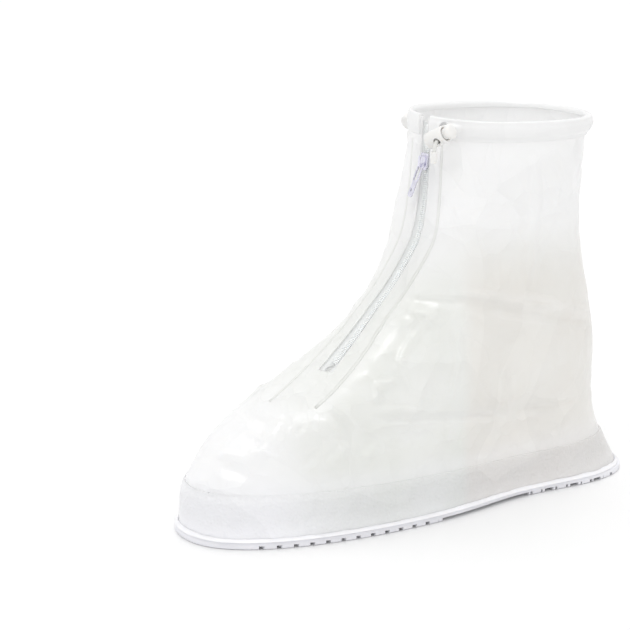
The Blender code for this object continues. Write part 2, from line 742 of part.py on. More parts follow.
def build_slider():
    """Slider plate with side rails over the coil, and the bridge that holds the pull."""
    half_w = SLIDER_WIDTH / 2
    half_l = SLIDER_LENGTH / 2
    base = SLIDER_SEAT
    top = base + SLIDER_PLATE
    plate_outline = ((-half_w * 0.72, -half_l), (half_w * 0.72, -half_l), (half_w, -half_l * 0.2),
                     (half_w, half_l * 0.8), (half_w * 0.8, half_l), (-half_w * 0.8, half_l),
                     (-half_w, half_l * 0.8), (-half_w, -half_l * 0.2))
    slider = extruded("zip_slider", "slider_metal", plate_outline, base, top, 2)
    bevel = slider.modifiers.new("soft_edges", "BEVEL")
    bevel.width = SLIDER_BEVEL
    bevel.segments = 1
    rise = top + BRIDGE_RISE
    half_b = BRIDGE_LENGTH / 2
    bar = BRIDGE_BAR
    foot = top - BRIDGE_SINK
    post = half_b - bar
    bridge_outline = ((-half_b, foot), (-post, foot), (-post, rise - BRIDGE_CORNER),
                      (-post + BRIDGE_CORNER, rise), (post - BRIDGE_CORNER, rise),
                      (post, rise - BRIDGE_CORNER), (post, foot), (half_b, foot), (half_b, rise),
                      (post, rise + bar), (-post, rise + bar), (-half_b, rise))
    bridge = extruded("slider_bridge", "slider_metal", bridge_outline,
                      -BRIDGE_WIDTH / 2, BRIDGE_WIDTH / 2, 0)
    unite(slider, bridge)
    rail_inside = COIL_WIDTH / 2 + 2 * CLEARANCE
    rail_drop = COIL_THICKNESS * 0.15
    for side in (-1, 1):
        inside = side * rail_inside
        outside = side * (rail_inside + RAIL_WIDTH)
        rail_top = base + SLIDER_PLATE / 2
        rail_outline = ((inside, -rail_drop), (outside, -rail_drop), (outside, rail_top),
                        (inside, rail_top))
        rail = extruded("slider_rail_" + ("near" if side < 0 else "far"), "slider_metal",
                        rail_outline, -half_l * 0.75, half_l * 0.75, 1)
        unite(slider, rail)
    slider.matrix_world = slider_frame()


def build_pull():
    """The pull: a pin through the bridge, an open frame below it and a tab with a small hole."""
    half = PULL_WIDTH / 2
    thick = PULL_THICKNESS / 2
    pin = PULL_THICKNESS / 2
    tab_end = -PULL_LENGTH
    frame_end = -PULL_FRAME
    shoulder = frame_end + PULL_SHOULDER
    neck = frame_end - PULL_SHOULDER
    corner = tab_end + PULL_CORNER
    outline = ((-half, pin), (half, pin), (half, shoulder), (half * 0.72, neck),
               (half * 0.85, corner), (half * 0.5, tab_end), (-half * 0.5, tab_end),
               (-half * 0.85, corner), (-half * 0.72, neck), (-half, shoulder))
    pull = extruded("zip_pull", "slider_metal", outline, -thick, thick, 2)
    bevel = pull.modifiers.new("soft_edges", "BEVEL")
    bevel.width = PULL_BEVEL
    bevel.segments = 1
    window_height = PULL_FRAME - pin
    window = cutter("pull_window", (PULL_WIDTH - 2 * PULL_ARM, window_height, 4 * PULL_THICKNESS),
                    (0, -pin - window_height / 2, 0))
    cut(pull, window)
    hole = cutter("pull_hole", (PULL_HOLE, 0, 4 * PULL_THICKNESS),
                  (0, tab_end + PULL_HOLE_UP, 0), round_sides=12)
    cut(pull, hole)
    hang = Matrix.Rotation(radians(-PULL_HANG), 4, "X")
    lower = -(BRIDGE_LENGTH / 2 - BRIDGE_BAR) + pin + CLEARANCE
    pull.matrix_world = slider_frame() @ Matrix.Translation((0, lower, pull_pivot_up())) @ hang


# Drawcord, toggles and tips

# One row per toggle: side of the zip, distance of its eyelet from the zip's middle, distance
# of the barrel beyond the eyelet, dip of its cord hole in degrees, lean of its barrel.
TOGGLES = {
    "near": (-1, 21.5 * MM, 7.5 * MM, 35, 26),
    "far": (1, 58 * MM, 7.5 * MM, 50, 26),
}


def cord_exit(which):
    """Side and place on the rim where the cord comes out through the casing."""
    side, distance = TOGGLES[which][:2]
    return side, zip_shift(1.0) + side * distance


def exit_frame(which):
    """Space of the eyelet: X straight out of the casing's face, Z up."""
    side, along = cord_exit(which)
    foot = Vector(rim_point(along, 0.0, CORD_RISE))
    face = Vector(rim_point(along, CHANNEL_DEPTH + CASING_WALL, CORD_RISE))
    outward = (face - foot).normalized()
    across = Vector((0, 0, 1)).cross(outward).normalized()
    upward = outward.cross(across)
    frame = Matrix((outward, across, upward)).transposed().to_4x4()
    frame.translation = face
    return frame


def toggle_frame(which):
    """Toggle's space: X out through the cord hole, Z along the barrel towards its button."""
    side, distance, reach, dip, lean = TOGGLES[which]
    outlet = exit_frame(which)
    away_from_zip = outlet.col[1].to_3d() * -side
    upward = outlet.col[2].to_3d()
    outward = outlet.col[0].to_3d()
    barrel = away_from_zip * cos(radians(lean)) + upward * sin(radians(lean))
    downward = away_from_zip * sin(radians(lean)) - upward * cos(radians(lean))
    axis = outward * cos(radians(dip)) + downward * sin(radians(dip))
    third = barrel.cross(axis)
    frame = Matrix((axis, third, barrel)).transposed().to_4x4()
    hole = outlet.translation + outward * EYELET_LEAD + axis * reach
    frame.translation = hole - barrel * HOLE_UP
    return frame


def button_rest_gap():
    return TOGGLE_LENGTH + BUTTON_TRAVEL + CLEARANCE


def build_toggle(which):
    radius = TOGGLE_DIAMETER / 2
    bore = TOGGLE_BORE / 2
    foot = TOGGLE_FOOT_ROUND
    mouth = TOGGLE_MOUTH_ROUND
    frame = toggle_frame(which)
    barrel = turned("toggle_barrel_" + which, "toggle_plastic",
                    ((0, 0), (radius - foot, 0), (radius - 0.25 * foot, 0.375 * foot),
                     (radius, 1.125 * foot), (radius, TOGGLE_LENGTH - 1.6 * mouth),
                     (radius - mouth, TOGGLE_LENGTH), (bore, TOGGLE_LENGTH),
                     (bore, TOGGLE_FLOOR), (0, TOGGLE_FLOOR)))
    hole = cutter("cord_hole_" + which, (HOLE_DIAMETER, 0, 2 * TOGGLE_DIAMETER), (0, 0, HOLE_UP),
                  round_sides=16, axis="X")
    cut(barrel, hole)
    barrel.matrix_world = frame

    stem = STEM_DIAMETER / 2
    head = BUTTON_DIAMETER / 2
    shoulder = button_rest_gap()
    slot_low = HOLE_UP - CORD_DIAMETER / 2 - CLEARANCE
    slot_high = HOLE_UP + CORD_DIAMETER / 2 + CLEARANCE + BUTTON_TRAVEL
    stem_end = slot_low - STEM_FOOT
    button = turned("toggle_button_" + which, "toggle_plastic",
                    ((0, stem_end), (stem - STEM_CHAMFER, stem_end),
                     (stem, stem_end + STEM_CHAMFER), (stem, shoulder), (head, shoulder),
                     (head, shoulder + 0.45 * BUTTON_HEAD),
                     (head * 0.86, shoulder + 0.75 * BUTTON_HEAD),
                     (head * 0.55, shoulder + 0.94 * BUTTON_HEAD), (0, shoulder + BUTTON_HEAD)))
    slot = cutter("cord_slot_" + which,
                  (2 * TOGGLE_DIAMETER, CORD_DIAMETER + 2 * CLEARANCE, slot_high - slot_low),
                  (0, 0, (slot_high + slot_low) / 2))
    cut(button, slot)
    button.matrix_world = frame

    low = TOGGLE_FLOOR + SPRING_WIRE / 2 + CLEARANCE
    high = stem_end - SPRING_WIRE / 2 - CLEARANCE
    radius = stem - SPRING_WIRE - CLEARANCE
    curve = bpy.data.curves.new("toggle_spring_" + which, "CURVE")
    curve.dimensions = "3D"
    curve.bevel_depth = SPRING_WIRE / 2
    curve.bevel_resolution = 0
    curve.use_fill_caps = True
    line = curve.splines.new("POLY")
    steps = int(SPRING_TURNS * 10)
    line.points.add(steps)
    for k in range(steps + 1):
        turn = 2 * pi * SPRING_TURNS * k / steps
        line.points[k].co = (radius * cos(turn), radius * sin(turn), low + (high - low) * k / steps, 1)
    spring = bpy.data.objects.new("toggle_spring_" + which, curve)
    curve.materials.append(material("spring_steel"))
    bpy.context.scene.collection.objects.link(spring)
    spring.matrix_world = frame


def smooth_route(points, spacing, tight=0):
    """Points on a smooth curve through the route's own points, closer together where the
    first and last `tight` of these turn sharply."""
    points = [Vector(p) for p in points]
    dense = []
    for i in range(len(points) - 1):
        a, b = points[max(i - 1, 0)], points[i]
        c, d = points[i + 1], points[min(i + 2, len(points) - 1)]
        for k in range(8):
            f = k / 8
            dense.append(0.5 * (2 * b + (c - a) * f + (2 * a - 5 * b + 4 * c - d) * f ** 2
                                + (3 * b - 3 * c + d - a) * f ** 3))
    dense.append(points[-1])
    lengths = np.concatenate([[0], np.cumsum([(q - p).length for p, q in zip(dense, dense[1:])])])
    table = np.array([tuple(p) for p in dense])
    marks = [0.0, lengths[8 * tight], lengths[-1 - 8 * tight], lengths[-1]]
    places = [0.0]
    for start, end, pace in zip(marks, marks[1:], (spacing * 0.4, spacing, spacing * 0.4)):
        count = max(1, int(round((end - start) / pace)))
        places += [start + (end - start) * (k + 1) / count for k in range(count)]
    return [Vector([np.interp(s, lengths, table[:, k]) for k in range(3)]) for s in places]


def cord_tail(which):
    """The cord's end: out of the eyelet, through the toggle's hole and down to the tip."""
    side, along = cord_exit(which)
    reach = TOGGLES[which][2]
    frame = toggle_frame(which)
    axis = frame.col[0].to_3d()
    hole = frame.translation + frame.col[2].to_3d() * HOLE_UP
    inside = ((3.8 * MM, 0.0), (1.2 * MM, 0.25))
    points = [Vector(rim_point(along + side * back, CORD_SEAT + (CHANNEL_DEPTH - CORD_SEAT) * out,
                               CORD_RISE)) for back, out in inside]
    outlet = exit_frame(which)
    outward = outlet.col[0].to_3d()
    points += [outlet.translation, outlet.translation + outward * EYELET_LEAD * 0.75]
    beyond = ((-0.6, 0.0), (0.0, 0.0), (0.78, 0.0), (0.98, 0.08), (1.12, 0.26), (1.20, 0.52),
              (1.22, 0.85))
    for out, drop in beyond:
        points.append(hole + axis * out * reach - Vector((0, 0, drop * reach)))
    return points


def build_cord():
    """The drawcord: from the near tip through the whole casing to the far tip."""
    channel = [Vector(rim_point(along, CORD_SEAT, CORD_RISE))
               for along in places_round(cord_exit("near")[1] - CORD_TURN_IN,
                                         cord_exit("far")[1] + CORD_TURN_IN, 20)]
    route = cord_tail("near")[::-1] + channel + cord_tail("far")
    points = smooth_route(route, 3 * CORD_DIAMETER, tight=len(cord_tail("near")))
    curve = bpy.data.curves.new("drawcord", "CURVE")
    curve.dimensions = "3D"
    curve.bevel_depth = CORD_DIAMETER / 2
    curve.bevel_resolution = 2
    curve.use_fill_caps = True
    line = curve.splines.new("POLY")
    line.points.add(len(points) - 1)
    for spot, point in zip(line.points, points):
        spot.co = (*point, 1)
    curve.materials.append(material("white_cord"))
    cord = bpy.data.objects.new("drawcord", curve)
    bpy.context.scene.collection.objects.link(cord)


def build_eyelet(which):
    """The ring through which the cord leaves the casing."""
    outer = EYELET_DIAMETER / 2
    inner = EYELET_HOLE / 2
    top = CLEARANCE + EYELET_THICKNESS
    loops = []
    for k in range(16):
        turn = 2 * pi * k / 16
        ring = ((inner, CLEARANCE), (outer, CLEARANCE), (outer * 0.92, top * 0.8), (inner * 1.2, top),
                (inner, top * 0.8))
        loops.append([(height, radius * cos(turn), radius * sin(turn)) for radius, height in ring])
    eyelet = loft("cord_eyelet_" + which, "eyelet_metal", loops, closed=True)
    eyelet.matrix_world = exit_frame(which)


def build_tip(which):
    """Moulded tip that closes the cord's end, with the cord seated in its bore."""
    tail = cord_tail(which)
    direction = (tail[-1] - tail[-2]).normalized()
    radius = TIP_DIAMETER / 2
    bore = CORD_DIAMETER / 2 + TIP_PLAY
    seat = TIP_SEAT
    tip = turned("cord_tip_" + which, "toggle_plastic",
                 ((0, seat + CLEARANCE), (bore, seat + CLEARANCE), (bore, 0), (radius * 0.8, 0),
                  (radius, TIP_ROUND), (radius, TIP_LENGTH * 0.7),
                  (radius * 0.7, TIP_LENGTH * 0.93), (0, TIP_LENGTH)), sides=14)
    tip.matrix_world = (Matrix.Translation(tail[-1] - direction * seat)
                        @ direction.to_track_quat("Z", "Y").to_matrix().to_4x4())


clear_scene()
build_sole()
build_lower_band()
build_welt()
build_upper()
build_casing()
build_zip()
build_inner_flap()
build_slider()
build_pull()
build_cord()
for which in TOGGLES:
    build_eyelet(which)
    build_toggle(which)
    build_tip(which)
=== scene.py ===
"""Looks of a reusable rain shoe cover: milky vinyl film over a treaded sole, closed by a front
zip and by a drawcord round the top.  Lengths are in metres and colours are linear.
"""
import json
from math import cos, pi, radians, sin

import bmesh
import bpy
import numpy as np
from mathutils import Matrix, Vector
from mathutils.bvhtree import BVHTree

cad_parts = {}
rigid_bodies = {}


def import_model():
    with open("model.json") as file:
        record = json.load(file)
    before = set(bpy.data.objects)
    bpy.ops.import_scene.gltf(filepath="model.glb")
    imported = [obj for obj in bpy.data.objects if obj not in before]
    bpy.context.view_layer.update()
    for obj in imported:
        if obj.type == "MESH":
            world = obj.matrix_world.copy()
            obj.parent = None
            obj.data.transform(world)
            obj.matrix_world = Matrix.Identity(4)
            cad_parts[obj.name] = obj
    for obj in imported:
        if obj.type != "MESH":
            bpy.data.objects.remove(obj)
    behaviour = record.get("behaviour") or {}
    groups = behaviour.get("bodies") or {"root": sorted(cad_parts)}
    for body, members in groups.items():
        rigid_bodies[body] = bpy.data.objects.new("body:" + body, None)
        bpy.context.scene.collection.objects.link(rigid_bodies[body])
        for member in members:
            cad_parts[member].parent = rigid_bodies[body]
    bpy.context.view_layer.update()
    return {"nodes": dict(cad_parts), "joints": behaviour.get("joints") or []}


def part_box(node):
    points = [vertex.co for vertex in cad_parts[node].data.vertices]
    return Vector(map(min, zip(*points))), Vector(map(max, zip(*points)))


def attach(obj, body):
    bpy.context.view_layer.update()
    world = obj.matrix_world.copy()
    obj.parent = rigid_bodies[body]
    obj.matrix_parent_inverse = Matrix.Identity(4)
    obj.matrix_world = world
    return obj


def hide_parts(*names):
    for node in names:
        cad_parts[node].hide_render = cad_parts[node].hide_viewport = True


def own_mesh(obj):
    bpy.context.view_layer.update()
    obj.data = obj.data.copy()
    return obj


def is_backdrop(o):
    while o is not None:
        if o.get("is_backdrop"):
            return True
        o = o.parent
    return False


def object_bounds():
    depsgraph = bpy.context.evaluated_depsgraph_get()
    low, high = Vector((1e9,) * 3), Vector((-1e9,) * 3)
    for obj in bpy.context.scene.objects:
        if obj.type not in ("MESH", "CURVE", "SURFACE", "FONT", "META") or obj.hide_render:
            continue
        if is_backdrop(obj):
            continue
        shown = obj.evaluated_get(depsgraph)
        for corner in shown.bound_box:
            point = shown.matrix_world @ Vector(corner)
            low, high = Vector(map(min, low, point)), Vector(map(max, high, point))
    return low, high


for old in list(bpy.data.objects):
    bpy.data.objects.remove(old, do_unlink=True)
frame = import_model()

# Sole
# One plate of pale moulded vinyl that carries the whole cover. Its cross grooves are cut
# between the lugs under the ball and the heel, and a plain spine joins them.
MM = 0.001
SOLE_OUTLINE_POINTS = 320
SOLE_EDGE_ROUND = 0.7 * MM
LUG_DEPTH = 2.0 * MM
SPINE_WIDTH = 24 * MM
CUTTER_LENGTH = 100 * MM
SAME_HEIGHT = 0.01 * MM
SOLE_COLOUR = (0.84, 0.84, 0.875)


def link_piece(name, data):
    """A new object in the scene with that mesh, curve, lamp or camera."""
    piece = bpy.data.objects.new(name, data)
    bpy.context.scene.collection.objects.link(piece)
    return piece


def piece_from(name, work):
    """A new piece whose mesh was built in work."""
    mesh = bpy.data.meshes.new(name)
    work.to_mesh(mesh)
    work.free()
    return link_piece(name, mesh)


def dress(piece, body, slot, finish, *nodes):
    """Gives a finished piece its body and its material, and hides the nodes it stands for. The slot is
    not used.
    """
    piece.data.materials.clear()
    piece.data.materials.append(finish)
    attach(piece, body)
    if nodes:
        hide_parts(*nodes)


def node_points(node):
    """The corners of a node's surface as an array."""
    return np.array([tuple(v.co) for v in frame["nodes"][node].data.vertices])


def closed_curve(points, count):
    """Evenly spaced points on a smooth closed curve through the given ones."""
    ring = np.asarray(points)
    before, after, beyond = np.roll(ring, 1, 0), np.roll(ring, -1, 0), np.roll(ring, -2, 0)
    dense = []
    for share in np.linspace(0, 1, 12, endpoint=False):
        dense.append(0.5 * (2 * ring + (after - before) * share
                            + (2 * before - 5 * ring + 4 * after - beyond) * share ** 2
                            + (3 * ring - 3 * after + beyond - before) * share ** 3))
    dense = np.stack(dense, 1).reshape(-1, ring.shape[1])
    dense = np.concatenate([dense, dense[:1]])
    run = np.concatenate([[0], np.cumsum(np.linalg.norm(np.diff(dense, axis=0), axis=1))])
    marks = np.linspace(0, run[-1], count, endpoint=False)
    return np.stack([np.interp(marks, run, dense[:, k]) for k in range(ring.shape[1])], 1)


def stack_rings(name, rings):
    """A closed solid through rings of points, with flat ends."""
    work = bmesh.new()
    rows = [[work.verts.new(tuple(p)) for p in ring] for ring in rings]
    count = len(rows[0])
    for low, high in zip(rows, rows[1:]):
        for k in range(count):
            m = (k + 1) % count
            work.faces.new((low[k], low[m], high[m], high[k]))
    work.faces.new(rows[0])
    work.faces.new(rows[-1][::-1])
    bmesh.ops.recalc_face_normals(work, faces=work.faces)
    return piece_from(name, work)


def shade(piece, crisp):
    """Smooth shading, with the edges sharper than that angle left crisp."""
    piece.data.shade_smooth()
    piece.data.set_sharp_from_angle(angle=radians(crisp))


def subtract(piece, tool):
    """Cuts a tool's shape out of a piece and removes the tool."""
    step = piece.modifiers.new("cut", "BOOLEAN")
    step.operation = "DIFFERENCE"
    step.solver = "EXACT"
    step.object = tool
    settle(piece)
    bpy.data.objects.remove(tool, do_unlink=True)


def settle(piece):
    """Makes a piece's modifiers part of its mesh."""
    ready = piece.evaluated_get(bpy.context.evaluated_depsgraph_get())
    mesh = bpy.data.meshes.new_from_object(ready)
    piece.modifiers.clear()
    piece.data = mesh


def effect_group(name, inputs):
    """An empty shader group with those inputs and three outputs, and its two end nodes."""
    group = bpy.data.node_groups.new(name, "ShaderNodeTree")
    for label, kind, value in inputs:
        socket = group.interface.new_socket(name=label, in_out="INPUT", socket_type="NodeSocket" + kind)
        socket.default_value = value
    for label, kind in (("Color", "Color"), ("Roughness", "Float"), ("Height", "Float")):
        group.interface.new_socket(name=label, in_out="OUTPUT", socket_type="NodeSocket" + kind)
    return group, group.nodes.new("NodeGroupInput"), group.nodes.new("NodeGroupOutput")


def set_inputs(node, values):
    """Gives a node's unlinked inputs their values."""
    for key, value in values.items():
        node.inputs[key].default_value = value


def add_node(tree, kind, settings=None, values=None):
    """A node of that kind, with its settings and its unlinked input values."""
    made = tree.nodes.new(kind)
    for key, value in (settings or {}).items():
        setattr(made, key, value)
    set_inputs(made, values or {})
    return made


def wire(tree, *rows):
    """Links nodes: a row is a node and its output, then the next node and its input."""
    for start, output, end, entry in rows:
        tree.links.new(start.outputs[output], end.inputs[entry])


def place_group(tree, group, values):
    """A group in a material, with its own values."""
    return add_node(tree, "ShaderNodeGroup", {"node_tree": group}, values)


# Mould grain: a fine pebbled skin with slightly uneven gloss and faint handling marks
mould_grain, grain_in, grain_out = effect_group(
    "mould_grain",
    (("Scale", "Float", 900.0), ("Tone", "Color", (0.8, 0.8, 0.8, 1)), ("Gloss", "Float", 0.4)))
grain_place = add_node(mould_grain, "ShaderNodeTexCoord")
grain_cells = add_node(mould_grain, "ShaderNodeTexVoronoi", {"feature": "SMOOTH_F1"})
grain_marks = add_node(mould_grain, "ShaderNodeTexNoise", None, {"Scale": 38.0, "Detail": 5.0})
grain_gloss = add_node(mould_grain, "ShaderNodeMath", {"operation": "MULTIPLY_ADD"}, {1: 0.22})
grain_shade = add_node(mould_grain, "ShaderNodeMapRange", None,
                       {"From Min": 0.3, "From Max": 0.7, "To Min": 0.94, "To Max": 1.03})
grain_tint = add_node(mould_grain, "ShaderNodeVectorMath", {"operation": "SCALE"})
wire(mould_grain,
     (grain_place, "Object", grain_cells, "Vector"),
     (grain_place, "Object", grain_marks, "Vector"),
     (grain_in, "Scale", grain_cells, "Scale"),
     (grain_marks, "Fac", grain_gloss, 0),
     (grain_in, "Gloss", grain_gloss, 2),
     (grain_marks, "Fac", grain_shade, "Value"),
     (grain_in, "Tone", grain_tint, 0),
     (grain_shade, "Result", grain_tint, "Scale"),
     (grain_tint, "Vector", grain_out, "Color"),
     (grain_gloss, "Value", grain_out, "Roughness"),
     (grain_cells, "Distance", grain_out, "Height"))


def blank_material(name):
    """A material with its Principled shader."""
    made = bpy.data.materials.new(name)
    made.use_nodes = True
    return made, made.node_tree, made.node_tree.nodes["Principled BSDF"]


def add_bump(tree, shader, skin, distance, strength, below=None):
    """Leads a group's height to the shader through a Bump node, over another one if given."""
    bump = add_node(tree, "ShaderNodeBump", None, {"Distance": distance, "Strength": strength})
    wire(tree, (skin, "Height", bump, "Height"), (bump, "Normal", shader, "Normal"))
    if below:
        wire(tree, (below, "Normal", bump, "Normal"))
    return bump


def skin_material(name, group, values, depth, strength):
    """A material whose colour, roughness and bump come from a group; with its tree, its
    Principled shader and its Bump node.
    """
    made, tree, shader = blank_material(name)
    skin = place_group(tree, group, values)
    wire(tree, (skin, "Color", shader, "Base Color"), (skin, "Roughness", shader, "Roughness"))
    return made, tree, shader, add_bump(tree, shader, skin, depth, strength)


def grained_plastic(name, tone, gloss, scale, depth, soft):
    """Moulded plastic: the mould grain on a Principled shader."""
    made, _, shader, _ = skin_material(
        name, mould_grain, {"Scale": scale, "Tone": (*tone, 1), "Gloss": gloss}, depth, 0.6)
    set_inputs(shader, {"Subsurface Weight": soft, "Subsurface Radius": (1.0, 0.95, 0.9),
                        "Subsurface Scale": 1.5 * MM})
    return made


sole_vinyl = grained_plastic("sole_vinyl", SOLE_COLOUR, gloss=0.38, scale=700.0, depth=0.1 * MM,
                             soft=0.25)

sole_corners = node_points("sole")
sole_top = sole_corners[:, 2].max()
edge_height = sorted(set(np.round(sole_corners[:, 2], 5)))[-2]
edge_ring = sole_corners[np.abs(sole_corners[:, 2] - edge_height) < SAME_HEIGHT]
edge_ring = np.unique(np.round(edge_ring, 6), axis=0)
edge_ring = edge_ring[np.argsort(np.arctan2(edge_ring[:, 1], edge_ring[:, 0]))]
sole_edge = closed_curve(edge_ring[:, :2], SOLE_OUTLINE_POINTS)
sole_way = np.roll(sole_edge, -1, 0) - np.roll(sole_edge, 1, 0)
sole_out = np.stack([sole_way[:, 1], -sole_way[:, 0]], 1)
sole_out /= np.linalg.norm(sole_out, axis=1)[:, None]
rings = []
for turn in np.linspace(-90, 0, 4):
    inset = SOLE_EDGE_ROUND * (1 - cos(radians(turn)))
    height = SOLE_EDGE_ROUND * (1 + sin(radians(turn)))
    rings.append(np.column_stack([sole_edge - sole_out * inset, np.full(len(sole_edge), height)]))
rings += [np.column_stack([ring[:, :2], sole_top - ring[:, 2]]) for ring in rings[::-1]]
sole = stack_rings("treaded_sole", rings)
ceilings = sole_corners[np.abs(sole_corners[:, 2] - LUG_DEPTH) < SAME_HEIGHT][:, 0]
groove_sides = sorted(set(np.round(ceilings, 4)))
tread = bmesh.new()
for start, end in zip(groove_sides[::2], groove_sides[1::2]):
    for side in (-1, 1):
        middle = ((start + end) / 2, side * (SPINE_WIDTH / 2 + CUTTER_LENGTH / 2), 0.0)
        size = Matrix.Diagonal((end - start, CUTTER_LENGTH, 2 * LUG_DEPTH, 1.0))
        bmesh.ops.create_cube(tread, size=1.0, matrix=Matrix.Translation(middle) @ size)
subtract(sole, piece_from("grooves", tread))
shade(sole, 35)
dress(sole, "cover", "sole_vinyl", sole_vinyl, "sole")

# Lower band
# A strip of film embossed with a fine leather grain, welded round the foot between the edge
# of the sole and the milky film, and a little slack where it bends round the toe and heel.
BAND_CREASES = 90
BAND_CREASE_DEPTH = 0.6 * MM
BAND_CREASE_LENGTHS = (12 * MM, 36 * MM)
BAND_CREASE_WIDTHS = (3 * MM, 8 * MM)
# The creases fade out over these distances from the sole's edge and from the milky film
BAND_CALM = (1 * MM, 6 * MM)
BAND_FEATHER = 7 * MM
BAND_SEATED = 0.5 * MM
BAND_EDGE_GAP = 0.06 * MM
FILM_CLEAR = (0.815, 0.815, 0.815)
FILM_WARM = (0.71, 0.69, 0.66)
FILM_COOL = (0.70, 0.71, 0.678)
FILM_LETS_THROUGH = 0.82
FILM_SEE_THROUGH = 0.05
LEATHER_SCALE = 620.0
CENTRE_LINE = ((-120 * MM, 20 * MM), (35 * MM, 35 * MM), (62 * MM, 235 * MM))


def smooth_copy(name, node, levels, crisp=55):
    """A fine smooth copy of a node's surface, made of four-sided faces where it can be. Edges
    sharper than the crisp angle stay crisp.
    """
    work = bmesh.new()
    work.from_mesh(frame["nodes"][node].data)
    bmesh.ops.remove_doubles(work, verts=work.verts, dist=0.02 * MM)
    bmesh.ops.join_triangles(work, faces=work.faces, angle_face_threshold=radians(50),
                             angle_shape_threshold=radians(60))
    crease = work.edges.layers.float.new("crease_edge")
    for edge in work.edges:
        if len(edge.link_faces) == 2 and edge.calc_face_angle() > radians(crisp):
            edge[crease] = 1.0
    piece = piece_from(name, work)
    rounding = piece.modifiers.new("rounding", "SUBSURF")
    rounding.levels = levels
    rounding.render_levels = levels
    settle(piece)
    shade(piece, crisp)
    return piece


def mesh_array(mesh, what="co"):
    """Vertex places or normals of a mesh as an array."""
    source = mesh.vertices if what == "co" else mesh.vertex_normals
    flat = np.empty(3 * len(mesh.vertices))
    source.foreach_get("co" if what == "co" else "vector", flat)
    return flat.reshape(-1, 3)


def nearest_on_line(places, points):
    """For each place, its distance from a broken line, the share of the way along the line
    where it is nearest, and that point.
    """
    points = np.array(points, float)
    lengths = np.linalg.norm(np.diff(points, axis=0), axis=1)
    best = np.full(len(places), np.inf)
    along = np.zeros(len(places))
    foot = np.zeros_like(places)
    done = 0.0
    for start, end, length in zip(points, points[1:], lengths):
        run = end - start
        share = np.clip(((places - start) @ run) / (run @ run), 0, 1)
        near = start + share[:, None] * run
        gap = np.linalg.norm(places - near, axis=1)
        closer = gap < best
        best[closer] = gap[closer]
        along[closer] = (done + share[closer] * length) / lengths.sum()
        foot[closer] = near[closer]
        done += length
    return best, along, foot


def outward_from_middle(places):
    """Directions away from the line through the middle of the foot and the shaft."""
    away = places - nearest_on_line(places, [(x, 0.0, z) for x, z in CENTRE_LINE])[2]
    return away / np.linalg.norm(away, axis=1)[:, None]


def random_creases(places, count, depth, seed, lengths, widths):
    """Height of many short, sharp creases of slack film, each a tent along a short line."""
    draw = np.random.default_rng(seed)
    height = np.zeros(len(places))
    away = outward_from_middle(places)
    for _ in range(count):
        pick = draw.integers(len(places))
        way = np.cross(away[pick], draw.normal(size=3))
        way /= np.linalg.norm(way)
        half = draw.uniform(*lengths) / 2
        line = (places[pick] - way * half, places[pick] + way * half)
        gap, along, _ = nearest_on_line(places, line)
        tent = np.clip(1 - gap / draw.uniform(*widths), 0, 1)
        height += draw.uniform(-1, 1) * depth * tent * np.sin(pi * np.clip(along, 0.02, 0.98))
    return height


def ease(low, high, value):
    """A smooth step from 0 at the low value to 1 at the high one."""
    share = np.clip((value - low) / (high - low), 0, 1)
    return share * share * (3 - 2 * share)


def move_surface(piece, places):
    """Puts each vertex of a piece in its new place."""
    piece.data.vertices.foreach_set("co", places.ravel())
    piece.data.update()


def push_out(piece, height):
    """Moves a piece's surface outwards by a height for each vertex."""
    places = mesh_array(piece.data)
    move_surface(piece, places + outward_from_middle(places) * height[:, None])


# Film tone: milky white film, faintly warm over the heel and faintly green round the ankle, a shade
# cooler near the sole, with cloudy patches and with the crisp facets of film that was folded in its
# packet. Each facet's colour is also lifted or lowered a little at random: painted light and shade, as
# if the facets faced the lamps at different angles.
film_tone, tone_in, tone_out = effect_group(
    "film_tone",
    (("Clear", "Color", (0.9, 0.9, 0.9, 1)), ("Warm", "Color", (0.7, 0.67, 0.62, 1)),
     ("Cool", "Color", (0.76, 0.78, 0.70, 1)), ("Low", "Color", (0.96, 0.962, 0.99, 1)),
     ("Gloss", "Float", 0.25)))
tone_place = add_node(film_tone, "ShaderNodeTexCoord")
tone_parts = add_node(film_tone, "ShaderNodeSeparateXYZ")
tone_cloud = add_node(film_tone, "ShaderNodeTexNoise", None,
                      {"Scale": 17.0, "Detail": 5.0, "Roughness": 0.6})
tone_warp = add_node(film_tone, "ShaderNodeTexNoise", None, {"Scale": 13.0, "Detail": 2.0})
tone_bend = add_node(film_tone, "ShaderNodeVectorMath", {"operation": "MULTIPLY_ADD"},
                     {1: (0.045, 0.045, 0.045)})
tone_folds = add_node(film_tone, "ShaderNodeTexVoronoi", None, {"Scale": 24.0})
tone_ripple = add_node(film_tone, "ShaderNodeTexVoronoi", None, {"Scale": 75.0})
# One row per soft edge of a region: axis, where it is clear, where it is full
REGION_EDGES = {
    "warm_back": ("X", 7 * MM, 19 * MM),
    "warm_top": ("Z", 178 * MM, 128 * MM),
    "cool_back": ("X", -122 * MM, -72 * MM),
    "cool_top": ("Z", 185 * MM, 125 * MM),
    "low": ("Z", 46 * MM, 20 * MM),
    "lip": ("Z", 4 * MM, 18 * MM),
}
wire(film_tone,
     (tone_place, "Object", tone_parts, "Vector"),
     (tone_place, "Object", tone_cloud, "Vector"),
     (tone_place, "Object", tone_warp, "Vector"),
     (tone_warp, "Color", tone_bend, 0),
     (tone_place, "Object", tone_bend, 2),
     (tone_bend, "Vector", tone_folds, "Vector"),
     (tone_bend, "Vector", tone_ripple, "Vector"))
edges = {}
for label, (axis, clear, full) in REGION_EDGES.items():
    edge = add_node(film_tone, "ShaderNodeMapRange", {"interpolation_type": "SMOOTHSTEP"},
                    {"From Min": clear, "From Max": full})
    wire(film_tone, (tone_parts, axis, edge, "Value"))
    edges[label] = (edge, "Result")


